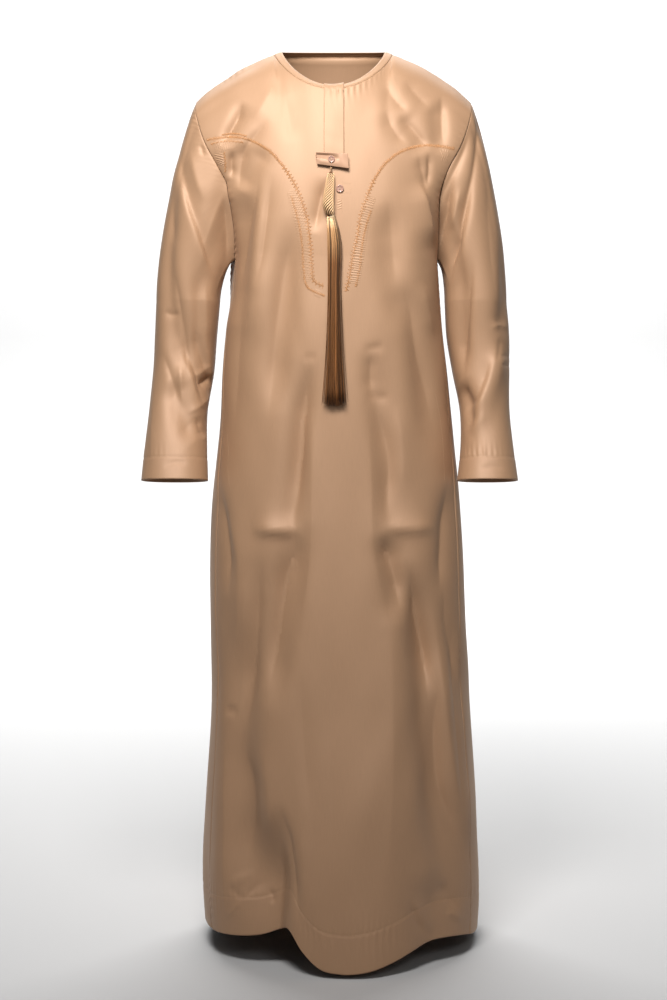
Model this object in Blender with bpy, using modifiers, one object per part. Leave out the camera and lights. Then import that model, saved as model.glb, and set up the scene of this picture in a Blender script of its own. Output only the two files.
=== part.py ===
"""A long-sleeved thobe robe, standing open as if worn, with a chest placket, a buttoned tab and a tassel.

Frame: +X to the robe's own left, -Y to the front, +Z up, metres. The origin lies between the shoulders,
in the middle of the neck opening. The tables give heights above the floor under the hem.
"""

import math
from collections import namedtuple

import bmesh
import bpy
import numpy as np
from mathutils import Vector
from mathutils.bvhtree import BVHTree

# Driving sizes
ORIGIN_HEIGHT = 1.495
ARMPIT_HEIGHT = 1.150
SHOULDER_TIP = (0.237, 0.008, 1.4215)
NECK_POINT = (0.0880, 0.000, 1.508)
NECK_DEPTH_FRONT = 0.075
NECK_DEPTH_BACK = 0.060
NECK_DROP_FRONT = 0.068
NECK_RISE_BACK = 0.010
NECKBAND_WIDTH = 0.013
CLOTH = 0.0015
SEAM_GAP = 0.0003
LAY_GAP = 0.0006
GORE_HALF_TOP = 0.020
GORE_FLARE = 0.083
HEM_BACK = 0.010

# Grid steps of the cloth
SHOULDER_STEPS = 7
FRONT_NECK_STEPS = 14
BACK_NECK_STEPS = 8
GORE_STEPS = 3
SKIRT_STEPS = 18
YOKE_STEPS = 8
CAP_STEPS = 6
DENSE = 361

# The direction that ranks the points of a rim, so that facing rims are split along like diagonals
RIM_ORDER = (0.11, 0.37, 1.00)

# Cross-sections of the body below the arms: reach to each side, the front and the back, and squareness
Section = namedtuple("Section", "height left right front back power")
BODY = [
    Section(0.000, 0.2170, 0.2450, 0.246, 0.188, 2.2),
    Section(0.100, 0.2235, 0.2485, 0.232, 0.178, 2.2),
    Section(0.215, 0.2200, 0.2440, 0.215, 0.168, 2.2),
    Section(0.390, 0.2110, 0.2340, 0.188, 0.155, 2.2),
    Section(0.560, 0.2115, 0.2260, 0.165, 0.146, 2.2),
    Section(0.690, 0.2100, 0.2200, 0.150, 0.143, 2.2),
    Section(0.770, 0.2050, 0.2140, 0.142, 0.140, 2.2),
    Section(0.860, 0.1950, 0.2040, 0.137, 0.134, 2.25),
    Section(0.945, 0.1910, 0.1960, 0.134, 0.126, 2.3),
    Section(1.050, 0.1820, 0.1840, 0.131, 0.121, 2.5),
    Section(1.150, 0.1775, 0.1770, 0.127, 0.122, 2.9),
]

# The front hem's height at each place across it: lifted in two places, lowest in the middle
HemPoint = namedtuple("HemPoint", "x height")
HEM_FRONT = [
    HemPoint(-0.230, 0.030),
    HemPoint(-0.205, 0.034),
    HemPoint(-0.165, 0.040),
    HemPoint(-0.130, 0.048),
    HemPoint(-0.095, 0.062),
    HemPoint(-0.072, 0.066),
    HemPoint(-0.050, 0.036),
    HemPoint(-0.025, 0.012),
    HemPoint(0.010, 0.003),
    HemPoint(0.050, 0.005),
    HemPoint(0.090, 0.016),
    HemPoint(0.130, 0.030),
    HemPoint(0.175, 0.037),
    HemPoint(0.210, 0.032),
    HemPoint(0.250, 0.012),
]

# Armhole edges of the front and back: rise from the armpit (0) to the shoulder tip (1), reach out, depth
Edge = namedtuple("Edge", "rise out depth")
ARMHOLE_FRONT = [
    Edge(0.00, 0.1765, -0.020),
    Edge(0.10, 0.1770, -0.037),
    Edge(0.24, 0.1780, -0.052),
    Edge(0.40, 0.1800, -0.064),
    Edge(0.55, 0.1930, -0.068),
    Edge(0.70, 0.2150, -0.062),
    Edge(0.85, 0.2300, -0.045),
    Edge(0.96, 0.2365, -0.020),
    Edge(1.00, 0.2370, 0.008),
]
ARMHOLE_BACK = [
    Edge(0.00, 0.1765, 0.020),
    Edge(0.10, 0.1775, 0.039),
    Edge(0.26, 0.1790, 0.058),
    Edge(0.44, 0.1840, 0.072),
    Edge(0.60, 0.1970, 0.074),
    Edge(0.76, 0.2160, 0.063),
    Edge(0.90, 0.2310, 0.042),
    Edge(0.97, 0.2360, 0.026),
    Edge(1.00, 0.2370, 0.008),
]

# The shoulder ridge between the neck and the shoulder tip
Ridge = namedtuple("Ridge", "out depth height")
SHOULDER = [
    Ridge(0.0880, 0.000, 1.5080),
    Ridge(0.1250, 0.002, 1.4946),
    Ridge(0.1600, 0.004, 1.4780),
    Ridge(0.1890, 0.006, 1.4600),
    Ridge(0.2150, 0.007, 1.4420),
    Ridge(0.2370, 0.008, 1.4215),
]

# Cross-sections of each sleeve from the upper arm to the cuff
ArmSection = namedtuple("ArmSection", "height inner outer middle half_depth tilt")
SLEEVE_RIGHT_OF_VIEW = [
    ArmSection(1.080, 0.1910, 0.2980, 0.004, 0.072, 0.00),
    ArmSection(1.015, 0.1950, 0.3020, 0.007, 0.070, 0.00),
    ArmSection(0.960, 0.2040, 0.3015, 0.002, 0.068, -0.02),
    ArmSection(0.890, 0.2160, 0.3000, -0.020, 0.063, -0.06),
    ArmSection(0.830, 0.2150, 0.3040, -0.047, 0.060, -0.09),
    ArmSection(0.776, 0.2080, 0.3090, -0.074, 0.058, -0.11),
]
SLEEVE_LEFT_OF_VIEW = [
    ArmSection(1.080, 0.1950, 0.3040, 0.004, 0.072, 0.00),
    ArmSection(1.015, 0.2010, 0.3070, 0.007, 0.070, 0.00),
    ArmSection(0.960, 0.2050, 0.3090, 0.002, 0.068, -0.02),
    ArmSection(0.890, 0.2150, 0.3140, -0.020, 0.063, -0.06),
    ArmSection(0.830, 0.2140, 0.3190, -0.047, 0.060, -0.09),
    ArmSection(0.776, 0.2110, 0.3220, -0.074, 0.058, -0.11),
]
SLEEVES = {"sleeve_left": SLEEVE_RIGHT_OF_VIEW, "sleeve_right": SLEEVE_LEFT_OF_VIEW}
SLEEVE_SQUARENESS = 2.3
SLEEVE_STEPS = 9

# Folds: a line in the front view from its top to its bottom, its reach to each side, and its depth.
# A positive depth stands out as a ridge, and a negative one lies back as a trough. Bow bends the line.
Fold = namedtuple("Fold", "x0 z0 x1 z1 left_reach right_reach depth bow")
FRONT_FOLDS = [
    Fold(-0.150, 1.345, -0.190, 1.255, 0.016, 0.020, -0.006, 0.000),
    Fold(-0.112, 1.335, -0.160, 1.260, 0.020, 0.018, -0.006, 0.000),
    Fold(0.175, 1.420, 0.180, 1.320, 0.016, 0.016, -0.006, 0.000),
    Fold(0.115, 1.400, 0.155, 1.320, 0.018, 0.018, -0.004, 0.000),
    Fold(-0.150, 1.275, -0.168, 1.030, 0.030, 0.030, -0.009, 0.000),
    Fold(-0.120, 1.290, -0.138, 0.990, 0.018, 0.024, 0.006, 0.000),
    Fold(-0.070, 1.220, -0.098, 0.880, 0.024, 0.024, -0.009, 0.000),
    Fold(0.075, 1.240, 0.120, 1.020, 0.028, 0.028, -0.007, 0.000),
    Fold(0.130, 1.120, 0.170, 0.800, 0.024, 0.024, -0.006, 0.000),
    Fold(-0.040, 0.990, -0.078, 0.640, 0.024, 0.018, -0.011, 0.000),
    Fold(0.055, 1.010, 0.098, 0.640, 0.022, 0.030, -0.009, 0.010),
    Fold(-0.050, 0.720, -0.110, 0.400, 0.032, 0.024, -0.014, 0.000),
    Fold(-0.140, 0.600, -0.120, 0.040, 0.034, 0.034, -0.016, -0.030),
    Fold(-0.182, 0.520, -0.188, 0.000, 0.016, 0.024, 0.008, 0.000),
    Fold(0.085, 0.700, 0.110, 0.540, 0.026, 0.026, -0.008, 0.000),
    Fold(0.145, 0.650, 0.200, 0.080, 0.030, 0.030, -0.018, -0.012),
    Fold(0.185, 0.520, 0.222, 0.150, 0.020, 0.022, 0.010, -0.006),
    Fold(0.050, 0.420, 0.060, -0.250, 0.070, 0.070, 0.010, 0.000),
    Fold(-0.098, 0.260, -0.104, -0.200, 0.055, 0.022, -0.034, 0.000),
    Fold(0.160, 0.160, 0.175, -0.100, 0.040, 0.032, -0.014, 0.000),
]
BACK_FOLDS = [
    Fold(-0.120, 1.330, -0.060, 1.120, 0.026, 0.026, -0.007, 0.000),
    Fold(0.125, 1.320, 0.070, 1.100, 0.026, 0.026, -0.007, 0.000),
    Fold(-0.130, 1.050, -0.110, 0.520, 0.034, 0.030, -0.012, 0.010),
    Fold(-0.035, 1.120, -0.045, 0.500, 0.030, 0.034, -0.010, 0.000),
    Fold(0.060, 1.080, 0.050, 0.420, 0.030, 0.030, -0.012, 0.000),
    Fold(0.140, 1.000, 0.135, 0.500, 0.028, 0.032, -0.010, -0.008),
    Fold(-0.155, 0.620, -0.165, -0.200, 0.034, 0.034, -0.020, 0.000),
    Fold(-0.075, 0.700, -0.085, -0.200, 0.036, 0.036, -0.022, 0.000),
    Fold(0.010, 0.660, 0.012, -0.200, 0.034, 0.034, -0.020, 0.000),
    Fold(0.095, 0.600, 0.105, -0.200, 0.036, 0.036, -0.022, 0.000),
    Fold(0.175, 0.640, 0.190, -0.200, 0.032, 0.032, -0.018, 0.000),
    Fold(-0.120, 0.500, -0.125, -0.200, 0.030, 0.030, 0.012, 0.000),
    Fold(0.050, 0.500, 0.055, -0.200, 0.030, 0.030, 0.012, 0.000),
]
FOLD_FADE = 0.28

# Folds of a sleeve: place round it in turns (0 top, 0.25 front, 0.5 armpit side), and down it from the
# armhole (0) to the cuff (1), at both ends of the fold, its reach and its depth
ArmFold = namedtuple("ArmFold", "turn0 down0 turn1 down1 reach_turn depth")
SLEEVE_FOLDS_LEFT = [
    ArmFold(0.10, 0.10, 0.28, 0.62, 0.050, -0.009),
    ArmFold(0.30, 0.16, 0.34, 0.55, 0.050, -0.007),
    ArmFold(0.42, 0.52, 0.30, 0.60, 0.060, -0.010),
    ArmFold(0.20, 0.60, 0.36, 0.86, 0.050, -0.008),
    ArmFold(0.62, 0.20, 0.70, 0.60, 0.060, -0.008),
    ArmFold(0.86, 0.30, 0.80, 0.85, 0.050, -0.006),
]
SLEEVE_FOLDS_RIGHT = [
    ArmFold(0.34, 0.10, 0.36, 0.60, 0.060, -0.009),
    ArmFold(0.12, 0.46, 0.36, 0.84, 0.045, 0.008),
    ArmFold(0.04, 0.20, 0.16, 0.44, 0.050, -0.006),
    ArmFold(0.42, 0.62, 0.32, 0.80, 0.050, -0.009),
    ArmFold(0.62, 0.20, 0.70, 0.60, 0.060, -0.008),
    ArmFold(0.86, 0.30, 0.80, 0.85, 0.050, -0.006),
]
SLEEVE_FOLDS = {"sleeve_left": SLEEVE_FOLDS_RIGHT, "sleeve_right": SLEEVE_FOLDS_LEFT}

# Placket, tab, buttons and tassel on the chest
PLACKET_LEFT = -0.0160
PLACKET_RIGHT = 0.0172
PLACKET_BOTTOM = 1.2995
TAB_CENTRE = (-0.0026, 1.3080)
TAB_HALF_WIDTH = 0.0262
TAB_HALF_HEIGHT = 0.0112
TAB_DEPTH = 0.0036
TAB_CLOTH = 0.0012
BUTTON_RADIUS = 0.0062
BUTTON_THICKNESS = 0.0026
UPPER_BUTTON = (-0.0033, 1.3098)
LOWER_BUTTON = (0.0106, 1.2613)
CORD_RIDGES = 11
CORD_TURNS = -1.57
CORD_RELIEF = 0.07
CORD_NECK = 1.2880
FRINGE_HEAD = 0.0060
FRINGE_HALF_WIDTH = 0.0066
FRINGE_HALF_DEPTH = 0.0042
FRINGE_ACROSS = 10
FRINGE_DEEP = 4

# The twisted cord's radius and place across the chest down its length, its narrow neck first
CordRing = namedtuple("CordRing", "height radius x")
CORD = [
    CordRing(1.2965, 0.0018, -0.0042),
    CordRing(1.2885, 0.0018, -0.0041),
    CordRing(1.2868, 0.0045, -0.0041),
    CordRing(1.2815, 0.0060, -0.0046),
    CordRing(1.2750, 0.0068, -0.0053),
    CordRing(1.2650, 0.0078, -0.0063),
    CordRing(1.2535, 0.0087, -0.0076),
    CordRing(1.2420, 0.0094, -0.0086),
    CordRing(1.2337, 0.0096, -0.0086),
    CordRing(1.2271, 0.0090, -0.0079),
    CordRing(1.2205, 0.0072, -0.0061),
    CordRing(1.2150, 0.0045, -0.0044),
]

# The hanging fringe: how far its strands spread from their roots, and its place across the chest
FringeRing = namedtuple("FringeRing", "height spread x")
FRINGE = [
    FringeRing(1.2145, 1.00, -0.0036),
    FringeRing(1.1820, 1.55, 0.0010),
    FringeRing(1.1000, 1.55, 0.0016),
    FringeRing(1.0000, 2.00, 0.0016),
    FringeRing(0.9050, 2.90, 0.0020),
]

# Colours of the cloth, thread and buttons
CLOTH_COLOUR = (0.60, 0.42, 0.28)
THREAD_COLOUR = (0.30, 0.16, 0.08)
CORD_COLOUR = (0.45, 0.27, 0.15)
BUTTON_COLOUR = (0.72, 0.50, 0.42)


def curve(knots, values, places):
    """A smooth curve through values at rising knots, read at the given places."""
    knots, values = np.asarray(knots, float), np.asarray(values, float)
    slopes = np.gradient(values, knots)
    places = np.clip(places, knots[0], knots[-1])
    i = np.clip(np.searchsorted(knots, places) - 1, 0, len(knots) - 2)
    step = knots[i + 1] - knots[i]
    t = (places - knots[i]) / step
    start = (1 + 2 * t) * (1 - t) ** 2 * values[i] + t * (1 - t) ** 2 * step * slopes[i]
    end = t * t * (3 - 2 * t) * values[i + 1] + t * t * (t - 1) * step * slopes[i + 1]
    return start + end


def column(table, key, name, places):
    """One named column of a table, read along its key column."""
    return curve([getattr(row, key) for row in table], [getattr(row, name) for row in table], places)


def ease(t):
    """A smooth step from 0 to 1."""
    t = np.clip(t, 0, 1)
    return t * t * (3 - 2 * t)


def unit(vectors):
    return vectors / np.maximum(np.linalg.norm(vectors, axis=-1, keepdims=True), 1e-12)


def superellipse(angle, squareness):
    """Cosine and sine of an angle, pushed out towards a rectangle."""
    c, s = np.cos(angle), np.sin(angle)
    power = 2 / squareness
    return np.sign(c) * np.abs(c) ** power, np.sign(s) * np.abs(s) ** power


def outline(height):
    """The body's level outline as dense points from the middle of its left side, with their lengths."""
    row = {name: float(column(BODY, "height", name, height)) for name in Section._fields[1:]}
    angle = np.linspace(-math.pi, math.pi, 4 * DENSE)
    across, along = superellipse(angle, row["power"])
    x = across * np.where(across < 0, row["left"], row["right"])
    y = along * np.where(along < 0, row["front"], row["back"])
    length = np.concatenate([[0], np.cumsum(np.hypot(np.diff(x), np.diff(y)))])
    return x, y, length, float(np.interp(0, angle, length))


def body_loop(height, counts):
    """One level loop of the body from the front left seam, by way of the front, right side and back."""
    x, y, length, right_side = outline(height)
    gore = GORE_HALF_TOP + GORE_FLARE * (ARMPIT_HEIGHT - height)
    marks = [gore, right_side - gore, right_side + gore, length[-1] - gore, length[-1] + gore]
    places = [np.linspace(a, b, n + 1)[:-1] for a, b, n in zip(marks, marks[1:], counts)]
    places = np.concatenate(places) % length[-1]
    return np.stack([np.interp(places, length, x), np.interp(places, length, y)], axis=1)


def hem_height(x, y):
    """Height of the hem below a point of the lowest loop."""
    front = column(HEM_FRONT, "x", "height", x)
    return front + (HEM_BACK - front) * ease((y + 0.060) / 0.120)


def skirt(counts, steps):
    """Closed grid of the body from the hem (row 0) up to the armpits, a column for each place round it."""
    levels = np.linspace(0, ARMPIT_HEIGHT, 47)
    loops = np.stack([body_loop(level, counts) for level in levels])
    hem = hem_height(loops[0, :, 0], loops[0, :, 1])
    share = np.linspace(0, 1, steps + 1)
    share = share + 0.10 * np.sin(2 * math.pi * share) / -math.pi
    heights = hem[None, :] + (ARMPIT_HEIGHT - hem[None, :]) * share[:, None]
    grid = np.empty(heights.shape + (3,))
    for c in range(heights.shape[1]):
        grid[:, c, 0] = np.interp(heights[:, c], levels, loops[:, c, 0])
        grid[:, c, 1] = np.interp(heights[:, c], levels, loops[:, c, 1])
    grid[:, :, 2] = heights
    return grid


def neck_curve(angle, widen):
    """A point of the neckline by its angle from the +X shoulder round by the front, moved out by widen."""
    c, s = np.cos(angle), np.sin(angle)
    front = s > 0
    x = (NECK_POINT[0] + widen) * c
    y = np.where(front, -(NECK_DEPTH_FRONT + widen * 0.9) * s, -(NECK_DEPTH_BACK + widen * 0.9) * s)
    drop = np.where(front, (NECK_DROP_FRONT + 0.55 * widen) * np.abs(s) ** 1.5, -NECK_RISE_BACK * np.abs(s))
    drop = drop + widen * (0.36 * c * c + np.where(front, 0.0, 0.45) * np.abs(s))
    return np.stack([x, y, NECK_POINT[2] - drop], axis=-1)


def ridge_curve(share):
    """Points of the shoulder seam at +X, from the neckband (0) to the shoulder tip (1)."""
    start = NECK_POINT[0] + NECKBAND_WIDTH
    out = start + (SHOULDER_TIP[0] - start) * share
    depth = column(SHOULDER, "out", "depth", out)
    height = column(SHOULDER, "out", "height", out)
    points = np.stack([out, depth, height], axis=-1)
    neck = neck_curve(np.array(0.0), NECKBAND_WIDTH)
    blend = (1 - share)[:, None] ** 3
    return points + blend * (neck - points[np.argmin(share)])


def top_edge(front, neck_steps):
    """The upper edge of the front or back panel, in the order of its columns."""
    shoulder = ridge_curve(np.linspace(1, 0, SHOULDER_STEPS + 1))
    angles = np.linspace(math.pi, 0, neck_steps + 1) if front else np.linspace(0, -math.pi, neck_steps + 1)
    neck = neck_curve(angles, NECKBAND_WIDTH)
    mirrored = shoulder * [-1, 1, 1]
    first, last = (mirrored, shoulder[::-1]) if front else (shoulder, mirrored[::-1])
    return np.concatenate([first[:-1], neck, last[1:]])


def armhole_edge(table, corner, rises, side):
    """Points up an armhole edge from the armpit corner to the shoulder tip."""
    out = column(table, "rise", "out", rises)
    depth = column(table, "rise", "depth", rises)
    height = ARMPIT_HEIGHT + (SHOULDER_TIP[2] - ARMPIT_HEIGHT) * rises
    points = np.stack([side * out, depth, height], axis=-1)
    return points + ((1 - rises) ** 4)[:, None] * (corner - points[0])


def yoke(bottom, first_edge, last_edge, top, turns):
    """Rows of a panel between the armpit level and its upper edge, rolling over to the shoulders."""
    x, y, length, right_side = outline(ARMPIT_HEIGHT)
    in_front = bottom[len(bottom) // 2, 1] < 0
    half = length <= right_side if in_front else length >= right_side
    x, y, length = x[half], y[half], length[half]
    middle = length[len(length) // 2]
    low_y = np.interp(bottom[:, 0], *((x, y) if in_front else (x[::-1], y[::-1])))
    roll = np.arccos(np.clip(top[:, 1] / low_y, 0, 0.9))
    fold = SHOULDER_TIP[1]
    rows = []
    for turn, first, last in zip(turns, first_edge, last_edge):
        shrink = max(math.cos(turn * math.pi / 2), 0.15)
        marks = []
        for edge, on_side in ((first, length < middle), (last, length > middle)):
            wanted = abs(fold + (edge[1] - fold) / shrink)
            order = np.argsort(np.abs(y[on_side]))
            marks.append(float(np.interp(wanted, np.abs(y[on_side])[order], length[on_side][order])))
        if turn == 0:
            low = bottom
        else:
            places = np.linspace(*marks, len(bottom))
            low = np.stack([np.interp(places, length, x), np.interp(places, length, y)], axis=1)
        rise = np.sin(turn * roll) / np.sin(roll)
        lean = (1 - np.cos(turn * roll)) / (1 - np.cos(roll))
        row = np.stack([
            low[:, 0] + (top[:, 0] - low[:, 0]) * rise,
            low[:, 1] + (top[:, 1] - low[:, 1]) * lean,
            ARMPIT_HEIGHT + (top[:, 2] - ARMPIT_HEIGHT) * rise,
        ], axis=1)
        place = np.linspace(-1, 1, len(bottom))
        row += np.where(place < 0, np.abs(place) ** 4, 0)[:, None] * (first - row[0])
        row += np.where(place > 0, np.abs(place) ** 4, 0)[:, None] * (last - row[-1])
        rows.append(row)
    return np.stack(rows)


def sleeve(ring, table, side, steps_cap, steps_arm):
    """Rows of a sleeve from the armhole ring down to the cuff; the ring runs top, front, armpit, back."""
    count = len(ring)
    turn = np.concatenate([[0], np.cumsum(np.linalg.norm(np.diff(ring, axis=0), axis=1))])
    turn = turn / (turn[-1] + np.linalg.norm(ring[0] - ring[-1]))
    armpit = turn[count // 2]
    lean = math.pi * np.where(turn < armpit, turn / armpit, 1 + (turn - armpit) / (1 - armpit))
    angle = 2 * math.pi * np.arange(count) / count

    def section(height):
        row = {name: float(column(table[::-1], "height", name, height)) for name in ArmSection._fields[1:]}
        across, along = superellipse(angle, SLEEVE_SQUARENESS)
        half = (row["outer"] - row["inner"]) / 2
        x = side * ((row["outer"] + row["inner"]) / 2 + half * across)
        y = row["middle"] - row["half_depth"] * along
        return np.stack([x, y, height + row["tilt"] * (y - row["middle"])], axis=-1)

    top, cuff = table[0].height, table[-1].height
    first = section(top)
    outward, forward = np.cos(lean), np.sin(lean)
    above = ease(outward)[:, None]
    below = ease(-outward)[:, None]
    facing = (1 - above - below)
    leave = above * [side * 0.45, 0, -0.90] + below * [side * 1.0, 0, -0.10]
    still = np.ones(len(forward))
    leave = leave + facing * np.stack([side * 0.42 * still, -0.08 * forward, -0.90 * still], axis=-1)
    reach = np.linalg.norm(first - ring, axis=1)[:, None]
    leave = unit(leave) * (above * 0.42 + below * 0.45 + facing * 0.75) * reach
    arrive = np.array([0, 0, -1.0]) * (above * 0.95 + below * 0.80 + facing * 0.85) * reach
    rows = []
    for t in np.linspace(0, 1, steps_cap + 1):
        rows.append(
            (1 + 2 * t) * (1 - t) ** 2 * ring
            + t * (1 - t) ** 2 * leave
            + t * t * (3 - 2 * t) * first
            + t * t * (t - 1) * arrive
        )
    rows += [section(height) for height in np.linspace(top, cuff, steps_arm + 1)[1:]]
    return np.stack(rows)


def directions_along(grid, axis, closed):
    """Directions along the rows or columns of a grid, the mean of those to both neighbours."""
    if closed:
        after = unit(np.roll(grid, -1, axis) - grid)
        return unit(after + np.roll(after, 1, axis))
    steps = unit(np.diff(grid, axis=axis))
    first, last = np.take(steps, [0], axis), np.take(steps, [-1], axis)
    return unit(np.concatenate([first, steps], axis) + np.concatenate([steps, last], axis))


def grid_normals(grid, closed):
    """Outward normals of a grid whose columns run to the right seen from outside, and whose rows run up."""
    return unit(np.cross(directions_along(grid, 1, closed), directions_along(grid, 0, False)))


def fold_amount(x, z, folds):
    """How far the folds move a point of the cloth out, from its place in the front view."""
    total = np.zeros_like(x)
    for fold in folds:
        along_x, along_z = fold.x1 - fold.x0, fold.z1 - fold.z0
        length = math.hypot(along_x, along_z)
        t = ((x - fold.x0) * along_x + (z - fold.z0) * along_z) / length**2
        away = ((x - fold.x0) * -along_z + (z - fold.z0) * along_x) / length
        away = away - fold.bow * 4 * np.clip(t, 0, 1) * (1 - np.clip(t, 0, 1))
        reach = np.where(away < 0, fold.left_reach, fold.right_reach)
        ends = ease(t / FOLD_FADE) * ease((1 - t) / FOLD_FADE)
        total += fold.depth * np.exp(-((away / reach) ** 2)) * ends
    return total


def body_folds(grid):
    x, y, z = grid[..., 0], grid[..., 1], grid[..., 2]
    in_front = ease((0.030 - y) / 0.060)
    front = fold_amount(x, z, FRONT_FOLDS)
    back = fold_amount(x, z, BACK_FOLDS)
    return front * in_front + back * (1 - in_front)


def sleeve_folds(grid, folds):
    rows, count = grid.shape[:2]
    turn = np.broadcast_to(np.arange(count)[None, :] / count, (rows, count))
    down = np.broadcast_to(np.linspace(0, 1, rows)[:, None], (rows, count))
    total = np.zeros((rows, count))
    for fold in folds:
        run_turn, run_down = fold.turn1 - fold.turn0, fold.down1 - fold.down0
        t = ((turn - fold.turn0) * run_turn + (down - fold.down0) * run_down) / (run_turn**2 + run_down**2)
        away = (turn - (fold.turn0 + run_turn * np.clip(t, 0, 1)) + 0.5) % 1 - 0.5
        ends = ease(t / FOLD_FADE) * ease((1 - t) / FOLD_FADE)
        total += fold.depth * np.exp(-((away / fold.reach_turn) ** 2)) * ends
    return total


def edge_rows(grid, closed):
    """Row and column numbers of a grid's boundary points."""
    rows, count = grid.shape[:2]
    spots = [(r, c) for r in (0, rows - 1) for c in range(count)]
    if not closed:
        spots += [(r, c) for r in range(1, rows - 1) for c in (0, count - 1)]
    return spots


def wall_directions(pieces):
    """Outward directions of every piece, the same for all pieces that meet at a point of a seam."""
    directions = {name: grid_normals(grid, name in CLOSED) for name, grid in pieces.items()}
    spots = [(name, r, c) for name, grid in pieces.items() for r, c in edge_rows(grid, name in CLOSED)]
    points = np.array([pieces[name][r, c] for name, r, c in spots])
    normals = np.array([directions[name][r, c] for name, r, c in spots])
    tube = np.array([float(name in CLOSED) for name, r, c in spots])[:, None]
    near = (np.abs(points[:, None, :] - points[None, :, :]).max(axis=2) < 1e-6).astype(float)
    shared = unit(unit(near @ (normals * (1 - tube))) + unit(near @ (normals * tube)))
    for (name, r, c), direction in zip(spots, shared):
        directions[name][r, c] = direction
    return directions


def draw_back(grid, directions, sides, closed):
    """Moves the sewn edges of a grid back by half of the seam's gap."""
    moved = grid.copy()
    lines = {
        "left": (np.s_[:, 0], np.s_[:, 1]),
        "right": (np.s_[:, -1], np.s_[:, -2]),
        "bottom": (np.s_[0], np.s_[1]),
        "top": (np.s_[-1], np.s_[-2]),
    }
    for side in sides:
        edge, next_line = lines[side]
        points, normal = grid[edge], directions[edge]
        along = directions_along(points, 0, closed)
        inward = grid[next_line] - points
        inward = inward - normal * np.sum(inward * normal, axis=1, keepdims=True)
        across = np.cross(along, normal)
        sign = np.sign(np.sum(inward * across, axis=1, keepdims=True))
        moved[edge] += unit(across) * sign * SEAM_GAP / 2
    return moved


def join_mesh(name, vertices, faces, material):
    """An object made of the given points and faces."""
    bm = bmesh.new()
    points = [bm.verts.new(point) for point in vertices]
    for face in faces:
        bm.faces.new([points[i] for i in face])
    mesh = bpy.data.meshes.new(name)
    bm.to_mesh(mesh)
    bm.free()
    mesh.materials.append(material)
    obj = bpy.data.objects.new(name, mesh)
    return obj


def skin_triangles(grid, closed):
    """Two triangles for each cell of a grid, split along its shorter diagonal."""
    rows, count = grid.shape[:2]
    triangles = []
    for r in range(rows - 1):
        for c in range(count if closed else count - 1):
            d = (c + 1) % count
            rising = np.linalg.norm(grid[r, c] - grid[r + 1, d])
            falling = np.linalg.norm(grid[r, d] - grid[r + 1, c])
            a, b, e, f = r * count + c, r * count + d, (r + 1) * count + d, (r + 1) * count + c
            triangles += [(a, b, e), (a, e, f)] if rising <= falling else [(a, b, f), (b, e, f)]
    return triangles


def wall(name, grid, directions, thickness, material, closed=False):
    """A piece of cloth: an outer and an inner skin about a grid, joined by a rim."""
    rows, count = grid.shape[:2]
    outer = (grid + directions * thickness / 2).reshape(-1, 3)
    inner = (grid - directions * thickness / 2).reshape(-1, 3)
    faces = skin_triangles(grid, closed)
    back = rows * count
    faces += [tuple(i + back for i in reversed(face)) for face in faces]
    bottom = list(range(count))
    top = [(rows - 1) * count + c for c in range(count)]
    if closed:
        rims = [bottom + bottom[:1], (top + top[:1])[::-1]]
    else:
        right = [r * count + count - 1 for r in range(rows)]
        left = [r * count for r in range(rows)]
        rims = [bottom + right[1:] + top[::-1][1:] + left[::-1][1:]]
    rank = grid.reshape(-1, 3) @ RIM_ORDER
    for rim in rims:
        for a, b in zip(rim, rim[1:]):
            if rank[a] > rank[b]:
                faces += [(b, a, b + back), (a, a + back, b + back)]
            else:
                faces += [(b, a, a + back), (b, a + back, b + back)]
    obj = join_mesh(name, np.concatenate([outer, inner]), faces, material)
    shade(obj)
    return obj


def shade(obj, angle=1.3):
    """Shades an object smooth but for its sharp edges."""
    obj.data.shade_smooth()
    obj.data.set_sharp_from_angle(angle=angle)


def surface_under(parts):
    """A tree of the outer skins of some grids, for finding what lies below a point of the chest."""
    vertices, triangles = [], []
    for grid, closed in parts:
        triangles += [tuple(i + len(vertices) for i in face) for face in skin_triangles(grid, closed)]
        vertices += [tuple(point) for point in grid.reshape(-1, 3)]
    return BVHTree.FromPolygons(vertices, triangles)


def chest_depth(surface, x, z):
    """How far forward the surface lies at a place of the front view, as a Y value."""
    return surface.ray_cast((x, -1.0, z), (0, 1, 0))[0].y


CLOSED = ("sleeve_left", "sleeve_right", "neckband")
SEWN = {
    "front_panel": ("left", "right", "top"),
    "back_panel": ("left", "right", "top"),
    "side_gore_left": ("left", "right", "top"),
    "side_gore_right": ("left", "right", "top"),
    "sleeve_left": ("bottom",),
    "sleeve_right": ("bottom",),
    "neckband": ("bottom",),
}


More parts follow.
